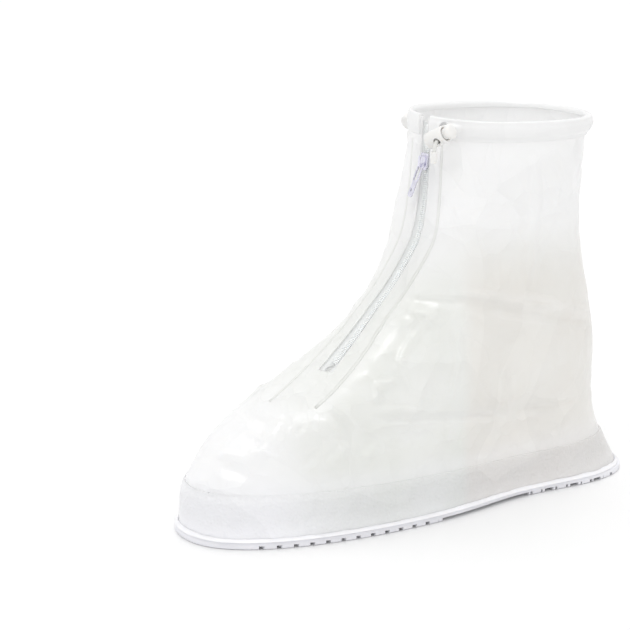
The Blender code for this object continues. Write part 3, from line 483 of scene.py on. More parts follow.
def multiply(tree, *factors):
    """The product of several values. They and the product are each a node and its output."""
    total = factors[0]
    for factor in factors[1:]:
        step = add_node(tree, "ShaderNodeMath", {"operation": "MULTIPLY"})
        wire(tree, (*total, step, 0), (*factor, step, 1))
        total = (step, "Value")
    return total


def mix_colours(tree, share, first, second):
    """A colour between two others, all given as a node and its output."""
    step = add_node(tree, "ShaderNodeMix", {"data_type": "RGBA"})
    wire(tree, (*share, step, "Factor"), (*first, step, "A"), (*second, step, "B"))
    return step, "Result"


cloud_share = add_node(film_tone, "ShaderNodeMapRange", None,
                       {"From Min": 0.32, "From Max": 0.68, "To Min": 0.55, "To Max": 1.0})
warm_share = multiply(film_tone, (cloud_share, "Result"), edges["warm_back"], edges["warm_top"])
cool_share = multiply(film_tone, (cloud_share, "Result"), edges["cool_back"], edges["cool_top"])
cool_film = mix_colours(film_tone, cool_share, (tone_in, "Clear"), (tone_in, "Cool"))
tinted = mix_colours(film_tone, warm_share, cool_film, (tone_in, "Warm"))
# Painted light and shade: each facet's colour is scaled up or down a little, as though it faced the
# light at its own angle.
facet_parts = add_node(film_tone, "ShaderNodeSeparateColor")
facet_painted_light = add_node(film_tone, "ShaderNodeMapRange", None, {"To Min": 0.978, "To Max": 1.022})
facet_lit_tone = add_node(film_tone, "ShaderNodeVectorMath", {"operation": "SCALE"})
low_tint = add_node(film_tone, "ShaderNodeMix", {"data_type": "RGBA"}, {"A": (1, 1, 1, 1)})
# Painted light: just above the sole the colour is lifted a little and turned faintly lavender, as the
# light on the outward flare of the band's foot.
flare_light_tint = add_node(film_tone, "ShaderNodeMix", {"data_type": "RGBA"},
                    {"A": (1.05, 1.05, 1.085, 1), "B": (1, 1, 1, 1)})
flare_lit_film = add_node(film_tone, "ShaderNodeVectorMath", {"operation": "MULTIPLY"})
low_film = add_node(film_tone, "ShaderNodeVectorMath", {"operation": "MULTIPLY"})
tone_gloss = add_node(film_tone, "ShaderNodeMath", {"operation": "MULTIPLY_ADD"}, {1: 0.16})
tone_height = add_node(film_tone, "ShaderNodeMath", {"operation": "MULTIPLY_ADD"}, {1: 0.3})
wire(film_tone,
     (tone_cloud, "Fac", cloud_share, "Value"),
     (tone_folds, "Color", facet_parts, "Color"),
     (facet_parts, "Red", facet_painted_light, "Value"),
     (*tinted, facet_lit_tone, 0),
     (facet_painted_light, "Result", facet_lit_tone, "Scale"),
     (*multiply(film_tone, edges["low"], edges["lip"]), low_tint, "Factor"),
     (tone_in, "Low", low_tint, "B"),
     (facet_lit_tone, "Vector", low_film, 0),
     (low_tint, "Result", low_film, 1),
     (*edges["lip"], flare_light_tint, "Factor"),
     (low_film, "Vector", flare_lit_film, 0),
     (flare_light_tint, "Result", flare_lit_film, 1),
     (flare_lit_film, "Vector", tone_out, "Color"),
     (tone_cloud, "Fac", tone_gloss, 0),
     (tone_in, "Gloss", tone_gloss, 2),
     (tone_gloss, "Value", tone_out, "Roughness"),
     (*multiply(film_tone, *[(tone_ripple, "Distance")] * 2), tone_height, 0),
     (*multiply(film_tone, *[(tone_folds, "Distance")] * 2), tone_height, 2),
     (tone_height, "Value", tone_out, "Height"))


def pass_light(made, seen_share, light_share):
    """Lets the camera see through a thin material a little, and more of the light through it."""
    tree = made.node_tree
    seen = add_node(tree, "ShaderNodeLightPath")
    passing = add_node(tree, "ShaderNodeMapRange", None,
                       {"To Min": 1 - light_share, "To Max": 1 - seen_share})
    wire(tree, (seen, "Is Camera Ray", passing, "Value"),
         (passing, "Result", tree.nodes["Principled BSDF"], "Alpha"))


def film_material(name, clear, warm, cool, gloss, wrinkle, leather=0.0, soak=(0.35, 1.5 * MM)):
    """Milky vinyl film: light soaks into it, by a share and a depth, and passes through it,
    and its skin is glossy.
    """
    tones = {"Clear": (*clear, 1), "Warm": (*warm, 1), "Cool": (*cool, 1), "Gloss": gloss}
    made, tree, shader, bump = skin_material(name, film_tone, tones, wrinkle, 0.8)
    if leather:
        skin = place_group(tree, mould_grain, {"Scale": LEATHER_SCALE})
        add_bump(tree, shader, skin, leather, 0.8, bump)
    set_inputs(shader, {"Subsurface Weight": soak[0], "Subsurface Radius": (1.0, 0.98, 0.95),
                        "Subsurface Scale": soak[1], "IOR": 1.5,
                        "Coat Weight": 0.4, "Coat Roughness": 0.1})
    pass_light(made, FILM_SEE_THROUGH, FILM_LETS_THROUGH)
    return made


grained_film = film_material("grained_film", FILM_CLEAR, FILM_WARM, FILM_COOL, gloss=0.42,
                             wrinkle=2.0 * MM, leather=0.5 * MM)


def surface_tree(mesh):
    """A mesh's surface, for finding places on it."""
    return BVHTree.FromPolygons([v.co.copy() for v in mesh.vertices],
                                [tuple(p.vertices) for p in mesh.polygons])


def gap_to(tree, places):
    """Distance of each place from a surface."""
    return np.array([tree.find_nearest(Vector(p))[3] for p in places])


band = smooth_copy("grained_band", "lower_band", 3)
band_places = mesh_array(band.data)
band_low, band_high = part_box("lower_band")
calm = ease(*BAND_CALM, band_places[:, 2] - band_low.z)
calm *= ease(*BAND_CALM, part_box("upper")[0].z - band_places[:, 2])
band_height = random_creases(band_places, BAND_CREASES, BAND_CREASE_DEPTH, seed=5,
                             lengths=BAND_CREASE_LENGTHS, widths=BAND_CREASE_WIDTHS)
push_out(band, band_height * calm)
band_places = mesh_array(band.data)
film_tree = surface_tree(frame["nodes"]["upper"].data)
film_gap = gap_to(film_tree, band_places)
feather = ease(band_high.z - BAND_FEATHER, band_high.z - BAND_SEATED, band_places[:, 2])
push_out(band, -np.clip(film_gap - BAND_EDGE_GAP, 0, None) * feather)
dress(band, "cover", "grained_film", grained_film, "lower_band")

# Edge weld
# Where the film and the sole are welded together, the film flares out and its edge is pressed
# flat on the sole, so a smooth, slightly wavy lip of vinyl runs all round.
WELT_REACH = 2.3 * MM
WELT_TOP = 2.4 * MM
WELT_LIP = 0.5 * MM
WELT_FALL = 2.2
WELT_WAVE = 0.12 * MM
WELT_WAVES = 46
WELD_COLOUR = (0.88, 0.875, 0.90)

weld_vinyl = grained_plastic("weld_vinyl", WELD_COLOUR, gloss=0.30, scale=1400.0,
                             depth=0.04 * MM, soft=0.6)
welt = smooth_copy("edge_lip", "edge_welt", 3, 80)
welt_places = mesh_array(welt.data)
band_gap = gap_to(surface_tree(frame["nodes"]["lower_band"].data), welt_places)
reach = np.clip(band_gap / WELT_REACH, 0, 1)
welt_base = welt_places[:, 2].min()
welt_share = (welt_places[:, 2] - welt_base) / (welt_places[:, 2].max() - welt_base)
welt_turn = np.arctan2(welt_places[:, 1], welt_places[:, 0])
fillet = WELT_LIP + (WELT_TOP - WELT_LIP) * (1 - reach) ** WELT_FALL
fillet += WELT_WAVE * np.sin(WELT_WAVES * welt_turn) * (1 - reach)
welt_places[:, 2] = welt_base + welt_share * fillet
move_surface(welt, welt_places)
dress(welt, "cover", "sole_vinyl", weld_vinyl, "edge_welt")

# Upper
# The milky film of the foot and the shaft, one soft skin slit down the front for the zip. It
# keeps the creases of its packet, and it folds over at the ankle where the shaft bends.
UPPER_CREASES = 340
UPPER_CREASE_DEPTH = 0.9 * MM
UPPER_CREASE_LENGTHS = (18 * MM, 60 * MM)
UPPER_CREASE_WIDTHS = (2.6 * MM, 7 * MM)
TOE_CRUMPLE = 1.1
TOE_RANGE = (-50 * MM, -100 * MM)
# The film lies calm near the rain flap, the lower band and the casing, over these distances
FLAP_CALM = (3.5 * MM, 11 * MM)
FOOT_CALM = (1 * MM, 9 * MM)
RIM_CALM = (3 * MM, 14 * MM)
FOLD_GAIN = 1.45
FOLD_NARROW = 0.8
FOLD_TAPER = 6
FOLD_END = 0.25
INNER_SKIN_DROP = 0.9 * MM
LOOKS_OUT = 0.2
SKIN_TURN = (-0.1, 0.3)
FILM_SOAK = (0.75, 5.0 * MM)
# One row per fold: depth (a groove is negative) and width, then its line over the film, in mm
FOLDS = (
    (1.9, 5.0, ((7, -39, 135), (25, -44, 132), (63, -47, 124), (114, -28, 108))),
    (-1.8, 6.0, ((10, -40, 129), (34, -47, 123), (63, -47, 116), (117, -26, 100))),
    (-1.3, 5.0, ((-21, -7, 128), (-8, -30, 130), (12, -42, 129))),
    (1.4, 4.5, ((-15, -27, 125), (-7, -35, 122), (-25, -35, 102), (-31, -38, 93))),
    (1.2, 4.0, ((-46, -37, 86), (-35, -40, 86))),
    (1.2, 4.0, ((-45, -38, 86), (-47, -42, 75))),
    (-1.6, 4.5, ((-51, -45, 68), (-7, -47, 63), (40, -41, 55))),
    (1.2, 4.5, ((-51, -45, 73), (-20, -46, 69))),
    (-1.5, 5.5, ((57, -39, 56), (109, -29, 51))),
    (1.1, 4.0, ((0, -45, 57), (-1, -46, 46))),
    (1.2, 4.0, ((39, -46, 88), (44, -41, 55))),
    (1.4, 6.0, ((-80, -43, 45), (-70, -43, 52))),
    (1.3, 6.0, ((-60, -46, 45), (-50, -45, 52))),
    (1.4, 6.0, ((-141, -15, 46), (-137, -25, 36))),
    (1.2, 6.0, ((55, -48, 222), (57, -49, 187), (56, -48, 160), (51, -48, 133))),
    (1.6, 7.0, ((-87, -21, 79), (-75, -40, 63), (-71, -46, 41))),
    (1.2, 6.0, ((-103, -5, 74), (-95, -35, 60))),
    (1.2, 5.0, ((5, -43, 114), (8, -45, 95), (0, -48, 73))),
    (1.9, 5.0, ((4, 40, 130), (30, 44, 127), (70, 46, 119), (114, 28, 108))),
    (-1.8, 6.0, ((6, 40, 123), (36, 46, 118), (66, 46, 112), (116, 26, 101))),
    (1.4, 4.5, ((-14, 30, 122), (-24, 36, 104), (-34, 40, 90))),
    (-1.5, 5.0, ((-55, 45, 66), (-5, 47, 61), (48, 42, 57))),
    (1.4, 6.0, ((-84, 30, 72), (-72, 42, 58), (-66, 46, 44))),
    (1.2, 5.0, ((34, 46, 94), (42, 44, 62))),
    (1.2, 6.0, ((58, 48, 215), (60, 48, 150))),
    (1.4, 6.0, ((128, -8, 120), (130, 6, 116))),
    (-1.4, 6.0, ((136, -12, 72), (137, 10, 70))),
)


def slice_points(node, height):
    """Where a level plane cuts the edges of a node's surface."""
    mesh = frame["nodes"][node].data
    places = mesh_array(mesh)
    ends = np.array([tuple(edge.vertices) for edge in mesh.edges])
    low, high = places[ends[:, 0]], places[ends[:, 1]]
    crosses = (low[:, 2] - height) * (high[:, 2] - height) < 0
    low, high = low[crosses], high[crosses]
    share = (height - low[:, 2]) / (high[:, 2] - low[:, 2])
    return low + (high - low) * share[:, None]


milky_film = film_material("milky_film", FILM_CLEAR, FILM_WARM, FILM_COOL, gloss=0.32,
                           wrinkle=4.2 * MM, soak=FILM_SOAK)
upper = smooth_copy("milky_upper", "upper", 2)
finer = bmesh.new()
finer.from_mesh(upper.data)
film_places = mesh_array(upper.data)
film_away = outward_from_middle(film_places)
outer = {i for i, (n, a) in enumerate(zip(mesh_array(upper.data, "normal"), film_away))
         if n @ a > LOOKS_OUT}
outer_edges = [edge for edge in finer.edges if all(v.index in outer for v in edge.verts)]
bmesh.ops.subdivide_edges(finer, edges=outer_edges, cuts=1, use_grid_fill=True, smooth=0.4)
finer.to_mesh(upper.data)
finer.free()
shade(upper, 60)
film_places = mesh_array(upper.data)
film_height = random_creases(film_places, UPPER_CREASES, UPPER_CREASE_DEPTH, seed=11,
                             lengths=UPPER_CREASE_LENGTHS, widths=UPPER_CREASE_WIDTHS)
film_height *= 1 + TOE_CRUMPLE * ease(*TOE_RANGE, film_places[:, 0])
for depth, width, line in FOLDS:
    gap, along, _ = nearest_on_line(film_places, np.array(line) * MM)
    tent = np.clip(1 - gap / (FOLD_NARROW * width * MM), 0, 1)
    ends = np.minimum(1, FOLD_TAPER * np.minimum(along, 1 - along) + FOLD_END)
    film_height += FOLD_GAIN * depth * MM * tent * ends
casing_low, casing_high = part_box("top_casing")
flap_tree = surface_tree(frame["nodes"]["inner_flap"].data)
calm = ease(*FLAP_CALM, gap_to(flap_tree, film_places))
calm *= ease(*FOOT_CALM, film_places[:, 2] - band_high.z)
calm *= ease(*RIM_CALM, casing_low.z - film_places[:, 2])
film_turn = np.sum(mesh_array(upper.data, "normal") * outward_from_middle(film_places), 1)
outside = ease(*SKIN_TURN, film_turn)
push_out(upper, film_height * calm - INNER_SKIN_DROP * (1 - outside) * calm)
dress(upper, "cover", "milky_film", milky_film, "upper")

# Flap welds
# The rain flap behind the zip is welded to the film along both of its edges. Each weld shows as a
# narrow pressed line, painted a little darker than the film as the shade in its groove.
WELD_WIDTH = 2.2 * MM
WELD_RISE = 0.09 * MM
WELD_SUNK = 0.05 * MM
WELD_STEP = 2.5 * MM
WELD_FOOT = 4 * MM
WELD_HEAD = 1 * MM
LOOK_FROM = 12 * MM

# Painted shade: the weld strip's colours are a little darker than the film's, for the shade in the
# pressed groove.
weld_groove_shade = film_material("weld_groove_shade", (0.79, 0.795, 0.77), (0.70, 0.69, 0.655),
                          (0.70, 0.71, 0.672), gloss=0.42, wrinkle=0.2 * MM)


def ribbon(name, route, across, outward, width, profile):
    """A closed strip along a route: profile rows are (share of the width, height)."""
    strip = stack_rings(name, [[place + side * width * share + out * rise
                                for share, rise in profile]
                               for place, side, out in zip(route, across, outward)])
    strip.data.shade_smooth()
    return strip


def smooth_rows(rows, times):
    """A route with its small kinks taken out; its ends stay."""
    rows = np.array(rows)
    for _ in range(times):
        rows[1:-1] = (rows[:-2] + 2 * rows[1:-1] + rows[2:]) / 4
    return rows


film_surface = surface_tree(upper.data)
heights = np.arange(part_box("inner_flap")[0].z + WELD_FOOT, casing_low.z - WELD_HEAD, WELD_STEP)
for side, label in ((-1, "near"), (1, "far")):
    route = []
    for height in heights:
        cut_points = slice_points("inner_flap", height)
        route.append(cut_points[np.argmax(cut_points[:, 1] * side)])
    route = smooth_rows(route, 6)
    seated, outs = [], []
    for place in route:
        away = Vector(outward_from_middle(np.array([place]))[0])
        spot, normal, _, _ = film_surface.ray_cast(Vector(place) + away * LOOK_FROM, -away)
        seated.append(np.array(spot))
        outs.append(np.array(normal if normal.dot(away) > 0 else -normal))
    ways = np.gradient(np.array(seated), axis=0)
    sides = np.cross(ways, np.array(outs))
    sides /= np.linalg.norm(sides, axis=1)[:, None]
    weld = ribbon("flap_weld_" + label, seated, sides, outs, WELD_WIDTH,
                  ((-0.5, -WELD_SUNK), (-0.3, WELD_RISE), (0.3, WELD_RISE), (0.5, -WELD_SUNK)))
    dress(weld, "cover", "milky_film", weld_groove_shade)

# Top casing
# The film's top edge is turned over and welded down as a casing for the drawcord. The cord
# draws it in, so its outer wall puckers in short upright gathers.
GATHER_DEPTH = 0.25 * MM
GATHERS = 54
# The gathers drift, by this much and this many times round, and slower ones lie under them
GATHER_DRIFT = 1.7
GATHER_DRIFTS = 5
SLOW_GATHERS = 0.43
SLOW_SHARE = 0.5
CASING_SLACK = 0.66
CASING_SEAT = 0.3 * MM
CASING_OUTSIDE = (1.5 * MM, 4.5 * MM)
CASING_CALM = (5 * MM, 10 * MM)
CASING_COLOUR = (0.83, 0.83, 0.83)


def eyelet_calm(places, reach):
    """0 beside the two eyelets, where a surface keeps its place, and 1 away from them."""
    calm = np.ones(len(places))
    for which in ("near", "far"):
        ring = node_points("cord_eyelet_" + which).mean(0)
        calm *= ease(*reach, np.linalg.norm(places - ring, axis=1))
    return calm


casing_film = film_material("casing_film", CASING_COLOUR, CASING_COLOUR, CASING_COLOUR,
                            gloss=0.36, wrinkle=1.0 * MM)
casing = smooth_copy("drawcord_casing", "top_casing", 2, 70)
casing_places = mesh_array(casing.data)
turn = np.arctan2(casing_places[:, 1], casing_places[:, 0] - (casing_low.x + casing_high.x) / 2)
film_gap = gap_to(film_tree, casing_places)
gather = np.sin(GATHERS * turn + GATHER_DRIFT * np.sin(GATHER_DRIFTS * turn))
gather += SLOW_SHARE * np.sin(GATHERS * SLOW_GATHERS * turn + 1)
outside = ease(*CASING_OUTSIDE, film_gap)
casing_rise = GATHER_DEPTH * gather - (film_gap - CASING_SEAT).clip(0) * (1 - CASING_SLACK)
push_out(casing, casing_rise * outside * eyelet_calm(casing_places, CASING_CALM))
dress(casing, "cover", "milky_film", casing_film, "top_casing")

# Zip tapes
# Two woven polyester tapes lie inside the slit and carry the coil between them. They have a
# fine herringbone, and their inner edges tuck in under the coil.
TAPE_COLOUR = (0.91, 0.925, 0.92)
THREAD_PITCH = 0.5 * MM
TUCK_FROM = 2.3 * MM
TUCK_END = 4.5 * MM
TUCK_IN = 1.8 * MM
TUCK_DEPTH = 1.0 * MM
TAPE_LETS_THROUGH = 0.6
ZIP_STEP = 1.5 * MM
ZIP_HEAD = 0.6 * MM

# Weave: crossing threads with a slightly fuzzy surface, and painted shade: the colour darkens where the
# weave is low, between the threads, and lightens on the thread tops
weave, weave_in, weave_out = effect_group(
    "weave", (("Pitch", "Float", 2000.0), ("Tone", "Color", (0.8, 0.8, 0.8, 1))))
weave_place = add_node(weave, "ShaderNodeTexCoord")
threads = []
for way in ("Z", "DIAGONAL"):
    thread = add_node(weave, "ShaderNodeTexWave", {"bands_direction": way},
                      {"Distortion": 0.6, "Detail": 1.0})
    wire(weave, (weave_place, "Object", thread, "Vector"), (weave_in, "Pitch", thread, "Scale"))
    threads.append((thread, "Fac"))
weave_height = multiply(weave, *threads)
# Painted shade: the colour follows the weave's height, darker in the hollows between threads.
weave_hollow_shade = add_node(weave, "ShaderNodeMapRange", None, {"To Min": 0.92, "To Max": 1.03})
weave_shaded_tone = add_node(weave, "ShaderNodeVectorMath", {"operation": "SCALE"})
weave_rough = add_node(weave, "ShaderNodeMapRange", None, {"To Min": 0.9, "To Max": 0.7})
wire(weave,
     (*weave_height, weave_hollow_shade, "Value"),
     (*weave_height, weave_rough, "Value"),
     (weave_in, "Tone", weave_shaded_tone, 0),
     (weave_hollow_shade, "Result", weave_shaded_tone, "Scale"),
     (weave_shaded_tone, "Vector", weave_out, "Color"),
     (weave_rough, "Result", weave_out, "Roughness"),
     (*weave_height, weave_out, "Height"))


def woven_material(name, tone, pitch, depth):
    """Woven or braided polyester yarn."""
    made, _, shader, _ = skin_material(name, weave, {"Pitch": pitch, "Tone": (*tone, 1)}, depth, 0.7)
    set_inputs(shader, {"Sheen Weight": 0.25})
    return made


coil_low, coil_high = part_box("zip_coil")
heights = np.arange(coil_low.z + ZIP_STEP, coil_high.z - ZIP_HEAD, ZIP_STEP)
zip_middle = smooth_rows([slice_points("zip_coil", h).mean(0) for h in heights], 8)
tape_weave = woven_material("tape_weave", TAPE_COLOUR, 1 / THREAD_PITCH, 0.12 * MM)
pass_light(tape_weave, 0.0, TAPE_LETS_THROUGH)
for side in ("near", "far"):
    tape = smooth_copy("tape_" + side, "zip_tape_" + side, 2)
    tape_places = mesh_array(tape.data)
    nearest = np.argmin(np.linalg.norm(tape_places[:, None] - zip_middle[None], axis=2), axis=1)
    outs = outward_from_middle(tape_places)
    inward = zip_middle[nearest] - tape_places
    inward -= outs * np.sum(inward * outs, axis=1)[:, None]
    inward[:, 2] = 0
    from_coil = np.linalg.norm(inward, axis=1)
    tuck = 1 - ease(TUCK_FROM, TUCK_END, from_coil)
    tape_places += inward / from_coil[:, None] * (TUCK_IN * tuck)[:, None]
    tape_places -= outs * (TUCK_DEPTH * tuck)[:, None]
    move_surface(tape, tape_places)
    dress(tape, "cover", "zip_tape", tape_weave, "zip_tape_" + side)

# Zip coil
# Two spirals of nylon line, one sewn to each tape, hook into each other turn by turn. The
# nylon has a blue-green tint.
COIL_PITCH = 1.2 * MM
COIL_LINE = 0.46 * MM
COIL_HALF_WIDTH = 1.25 * MM
COIL_HALF_HEIGHT = 0.38 * MM
COIL_APART = 0.55 * MM
COIL_PROUD = 0.1 * MM
COIL_STEPS = 12
COIL_COLOUR = (0.96, 0.995, 0.985)
COIL_LETS_THROUGH = 0.7

coil_nylon = grained_plastic("coil_nylon", COIL_COLOUR, gloss=0.28, scale=2500.0,
                             depth=0.02 * MM, soft=0.6)
pass_light(coil_nylon, 0.0, COIL_LETS_THROUGH)


def tube(name, points, radius, sides=6):
    """A round bar along points, with closed ends."""
    curve = bpy.data.curves.new(name, "CURVE")
    curve.dimensions = "3D"
    curve.bevel_depth = radius
    curve.bevel_resolution = max(0, sides // 2 - 2)
    curve.use_fill_caps = True
    line = curve.splines.new("POLY")
    line.points.add(len(points) - 1)
    for spot, point in zip(line.points, points):
        spot.co = (*point, 1)
    source = link_piece(name + "_line", curve)
    ready = source.evaluated_get(bpy.context.evaluated_depsgraph_get())
    mesh = bpy.data.meshes.new_from_object(ready)
    bpy.data.objects.remove(source, do_unlink=True)
    mesh.name = name
    mesh.shade_smooth()
    return link_piece(name, mesh)


run = np.concatenate([[0], np.cumsum(np.linalg.norm(np.diff(zip_middle, axis=0), axis=1))])
marks = np.arange(0, run[-1], COIL_PITCH / COIL_STEPS)
middle = np.stack([np.interp(marks, run, zip_middle[:, k]) for k in range(3)], 1)
middle = smooth_rows(middle, 60)
ways = np.gradient(middle, axis=0)
ways /= np.linalg.norm(ways, axis=1)[:, None]
outs = outward_from_middle(middle)
outs -= ways * np.sum(outs * ways, axis=1)[:, None]
outs /= np.linalg.norm(outs, axis=1)[:, None]
sides = np.cross(ways, outs)
spirals = []
for side in (-1, 1):
    angle = 2 * pi * marks / COIL_PITCH * side + (pi if side > 0 else 0)
    across = side * COIL_APART + COIL_HALF_WIDTH * np.cos(angle)
    rise = COIL_HALF_HEIGHT * np.sin(angle)
    points = middle + sides * across[:, None] + outs * (rise + COIL_PROUD)[:, None]
    spirals.append(tube("coil_" + ("near" if side < 0 else "far"), points, COIL_LINE))
for spiral in spirals:
    dress(spiral, "cover", "zip_coil", coil_nylon)
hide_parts("zip_coil")

# Rain flap
# A strip of the same film behind the zip keeps the rain out. Its two long edges are welded to
# the film.
flap = smooth_copy("rain_flap", "inner_flap", 2)
dress(flap, "cover", "milky_film", milky_film, "inner_flap")

# Slider and pull
# Both are die-cast and nickel plated, bright with a lavender cast, with fine rub marks. The
# pull swings on the bridge of the slider.
NICKEL = (0.80, 0.79, 0.89)
METAL_EDGE = 0.16 * MM
RUB_DEPTH = 0.01 * MM

# Rub marks: fine scratches that lift the roughness of plated metal
rub_marks, rub_in, rub_out = effect_group(
    "rub_marks", (("Tone", "Color", (0.6, 0.6, 0.6, 1)), ("Gloss", "Float", 0.2)))
rub_place = add_node(rub_marks, "ShaderNodeTexCoord")
rub_stretch = add_node(rub_marks, "ShaderNodeMapping", None, {"Scale": (900.0, 900.0, 160.0)})
rub_noise = add_node(rub_marks, "ShaderNodeTexNoise", None, {"Scale": 1.0, "Detail": 4.0})
rub_gloss = add_node(rub_marks, "ShaderNodeMath", {"operation": "MULTIPLY_ADD"}, {1: 0.25})
rub_shade = add_node(rub_marks, "ShaderNodeMapRange", None, {"To Min": 0.8, "To Max": 1.15})
rub_tint = add_node(rub_marks, "ShaderNodeVectorMath", {"operation": "SCALE"})
wire(rub_marks,
     (rub_place, "Object", rub_stretch, "Vector"),
     (rub_stretch, "Vector", rub_noise, "Vector"),
     (rub_noise, "Fac", rub_gloss, 0),
     (rub_in, "Gloss", rub_gloss, 2),
     (rub_noise, "Fac", rub_shade, "Value"),
     (rub_in, "Tone", rub_tint, 0),
     (rub_shade, "Result", rub_tint, "Scale"),
     (rub_tint, "Vector", rub_out, "Color"),
     (rub_gloss, "Value", rub_out, "Roughness"),
     (rub_noise, "Fac", rub_out, "Height"))


def plated_metal(name, tone, gloss):
    """Plated metal with rub marks."""
    made, _, shader, _ = skin_material(name, rub_marks, {"Tone": (*tone, 1), "Gloss": gloss},
                                       RUB_DEPTH, 0.5)
    set_inputs(shader, {"Metallic": 1.0})
    return made


def crisp_copy(name, node, edge):
    """A copy of a hard node with flat faces made whole and its edges rounded a little."""
    work = bmesh.new()
    work.from_mesh(frame["nodes"][node].data)
    bmesh.ops.remove_doubles(work, verts=work.verts, dist=0.01 * MM)
    bmesh.ops.dissolve_limit(work, angle_limit=radians(2), verts=work.verts, edges=work.edges)
    piece = piece_from(name, work)
    bevel = piece.modifiers.new("edges", "BEVEL")
    bevel.width = edge
    bevel.segments = 2
    bevel.limit_method = "ANGLE"
    bevel.angle_limit = radians(28)
    settle(piece)
    shade(piece, 38)
    return piece


nickel = plated_metal("nickel", NICKEL, 0.14)
dress(crisp_copy("slider", "zip_slider", METAL_EDGE), "cover", "slider_metal", nickel, "zip_slider")
dress(crisp_copy("pull", "zip_pull", METAL_EDGE), "pull", "slider_metal", nickel, "zip_pull")

# Drawcord
# A braided elastic cord runs round the top inside the casing. Its two ends come out through
# the eyelets, pass through the toggles and end in moulded tips.
CORD_SINK = 0.45 * MM
CORD_CALM = (5 * MM, 9 * MM)
CORD_LEAVES = (3.2 * MM, 5 * MM)

cord_braid = woven_material("cord_braid", (0.90, 0.90, 0.87), pitch=1400.0, depth=0.2 * MM)
cord = smooth_copy("braided_cord", "drawcord", 1, 70)
cord_places = mesh_array(cord.data)
cord_sunk = eyelet_calm(cord_places, CORD_CALM)
cord_sunk *= 1 - ease(*CORD_LEAVES, gap_to(film_tree, cord_places))
push_out(cord, -CORD_SINK * cord_sunk)
dress(cord, "cover", "white_cord", cord_braid, "drawcord")

# Eyelets
# Each is a stamped ring, pressed into the casing where the cord comes out.
eyelet_metal = plated_metal("eyelet_metal", (0.62, 0.62, 0.62), 0.22)
for which in ("near", "far"):
    eyelet = smooth_copy("eyelet_" + which, "cord_eyelet_" + which, 2, 65)
    dress(eyelet, "cover", "eyelet_metal", eyelet_metal, "cord_eyelet_" + which)

# Toggles
# A toggle is a moulded barrel with a cross hole for the cord. A wire spring pushes a domed button out
# of the barrel, which nips the cord between the two holes. The spring would shorten when the button is
# pressed in, but here it is fixed to the cover at its full length.
TOGGLE_SIDES = 48
TOGGLE_LENGTH = 12.8 * MM
TOGGLE_RADIUS = 5.25 * MM
BORE_RADIUS = 3.9 * MM
BARREL_FLOOR = 1.2 * MM
CORD_HOLE_UP = 8.0 * MM
CORD_HOLE = 4.4 * MM
EYELET_LEAD = 1.1 * MM
BARREL_ROUND = 1.1 * MM
BUTTON_SHOULDER = 15.3 * MM
BUTTON_RADIUS = 4.6 * MM
BUTTON_DOME = 3.4 * MM
# Points on the dome: share of the button's radius, share of the dome's height
DOME_POINTS = ((0.98, 0.6), (0.7, 0.93))
BUTTON_ROUND = 0.9 * MM
STEM_RADIUS = 3.5 * MM
STEM_END = 4.9 * MM
SLOT_LOW = 6.5 * MM
SLOT_HIGH = 11.7 * MM
CORD_SLOT = 3.0 * MM
SPRING_WIRE = 0.3 * MM
SPRING_TURNS = 2
SPRING_STEPS = 24

toggle_plastic = grained_plastic("toggle_plastic", (0.84, 0.832, 0.815), gloss=0.20,
                                 scale=1500.0, depth=0.03 * MM, soft=0.5)
spring_wire = plated_metal("spring_wire", (0.36, 0.33, 0.24), 0.25)


def turned(name, profile, sides):
    """A solid turned round Z from (radius, height) points, from pole to pole."""
    work = bmesh.new()
    rings = []
    for radius, height in profile:
        if radius == 0:
            rings.append([work.verts.new((0, 0, height))])
        else:
            rings.append([work.verts.new((radius * cos(2 * pi * k / sides),
                                          radius * sin(2 * pi * k / sides), height))
                          for k in range(sides)])
    for low, high in zip(rings, rings[1:]):
        for k in range(sides):
            m = (k + 1) % sides
            corners = (low[k % len(low)], low[m % len(low)], high[m % len(high)], high[k % len(high)])
            work.faces.new(list(dict.fromkeys(corners)))
    bmesh.ops.recalc_face_normals(work, faces=work.faces)
    return piece_from(name, work)


def round_corners(points, radius, steps=4):
    """A profile whose inner points are rounded off; points on the axis stay."""
    rounded = [points[0]]
    for before, here, after in zip(points, points[1:], points[2:]):
        here = np.array(here)
        back, ahead = np.array(before) - here, np.array(after) - here
        reach = min(radius, 0.45 * np.linalg.norm(back), 0.45 * np.linalg.norm(ahead))
        start = here + back / np.linalg.norm(back) * reach
        end = here + ahead / np.linalg.norm(ahead) * reach
        for share in np.linspace(0, 1, steps):
            rounded.append(tuple((1 - share) ** 2 * start + 2 * share * (1 - share) * here
                                 + share ** 2 * end))
    return rounded + [points[-1]]


def toggle_place(which):
    """The toggle's own space: X along its cord hole, Z towards its button."""
    axis = next(j["axis"] for j in frame["joints"] if j["name"] == which + "_button_press")
    axis = -Vector(axis).normalized()
    middle = node_points("cord_eyelet_" + which).mean(0)
    low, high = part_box("toggle_barrel_" + which)
    floor = (low + high) / 2 - axis * TOGGLE_LENGTH / 2
    normal = np.linalg.svd(node_points("cord_eyelet_" + which) - middle)[2][-1]
    if normal @ outward_from_middle(middle[None])[0] < 0:
        normal = -normal
    start = Vector(middle) + Vector(normal) * EYELET_LEAD
    through = (floor + axis * CORD_HOLE_UP - start).normalized()
    through = (through - axis * through.dot(axis)).normalized()
    place = Matrix((through, axis.cross(through), axis)).transposed().to_4x4()
    place.translation = floor
    return place


def round_bar(name, radius, length, height):
    """A bar along X, for cutting a cord hole."""
    bar = bmesh.new()
    bmesh.ops.create_cone(bar, cap_ends=True, segments=32, radius1=radius, radius2=radius, depth=length)
    bmesh.ops.rotate(bar, verts=bar.verts, matrix=Matrix.Rotation(pi / 2, 3, "Y"))
    bmesh.ops.translate(bar, verts=bar.verts, vec=(0, 0, height))
    return piece_from(name, bar)


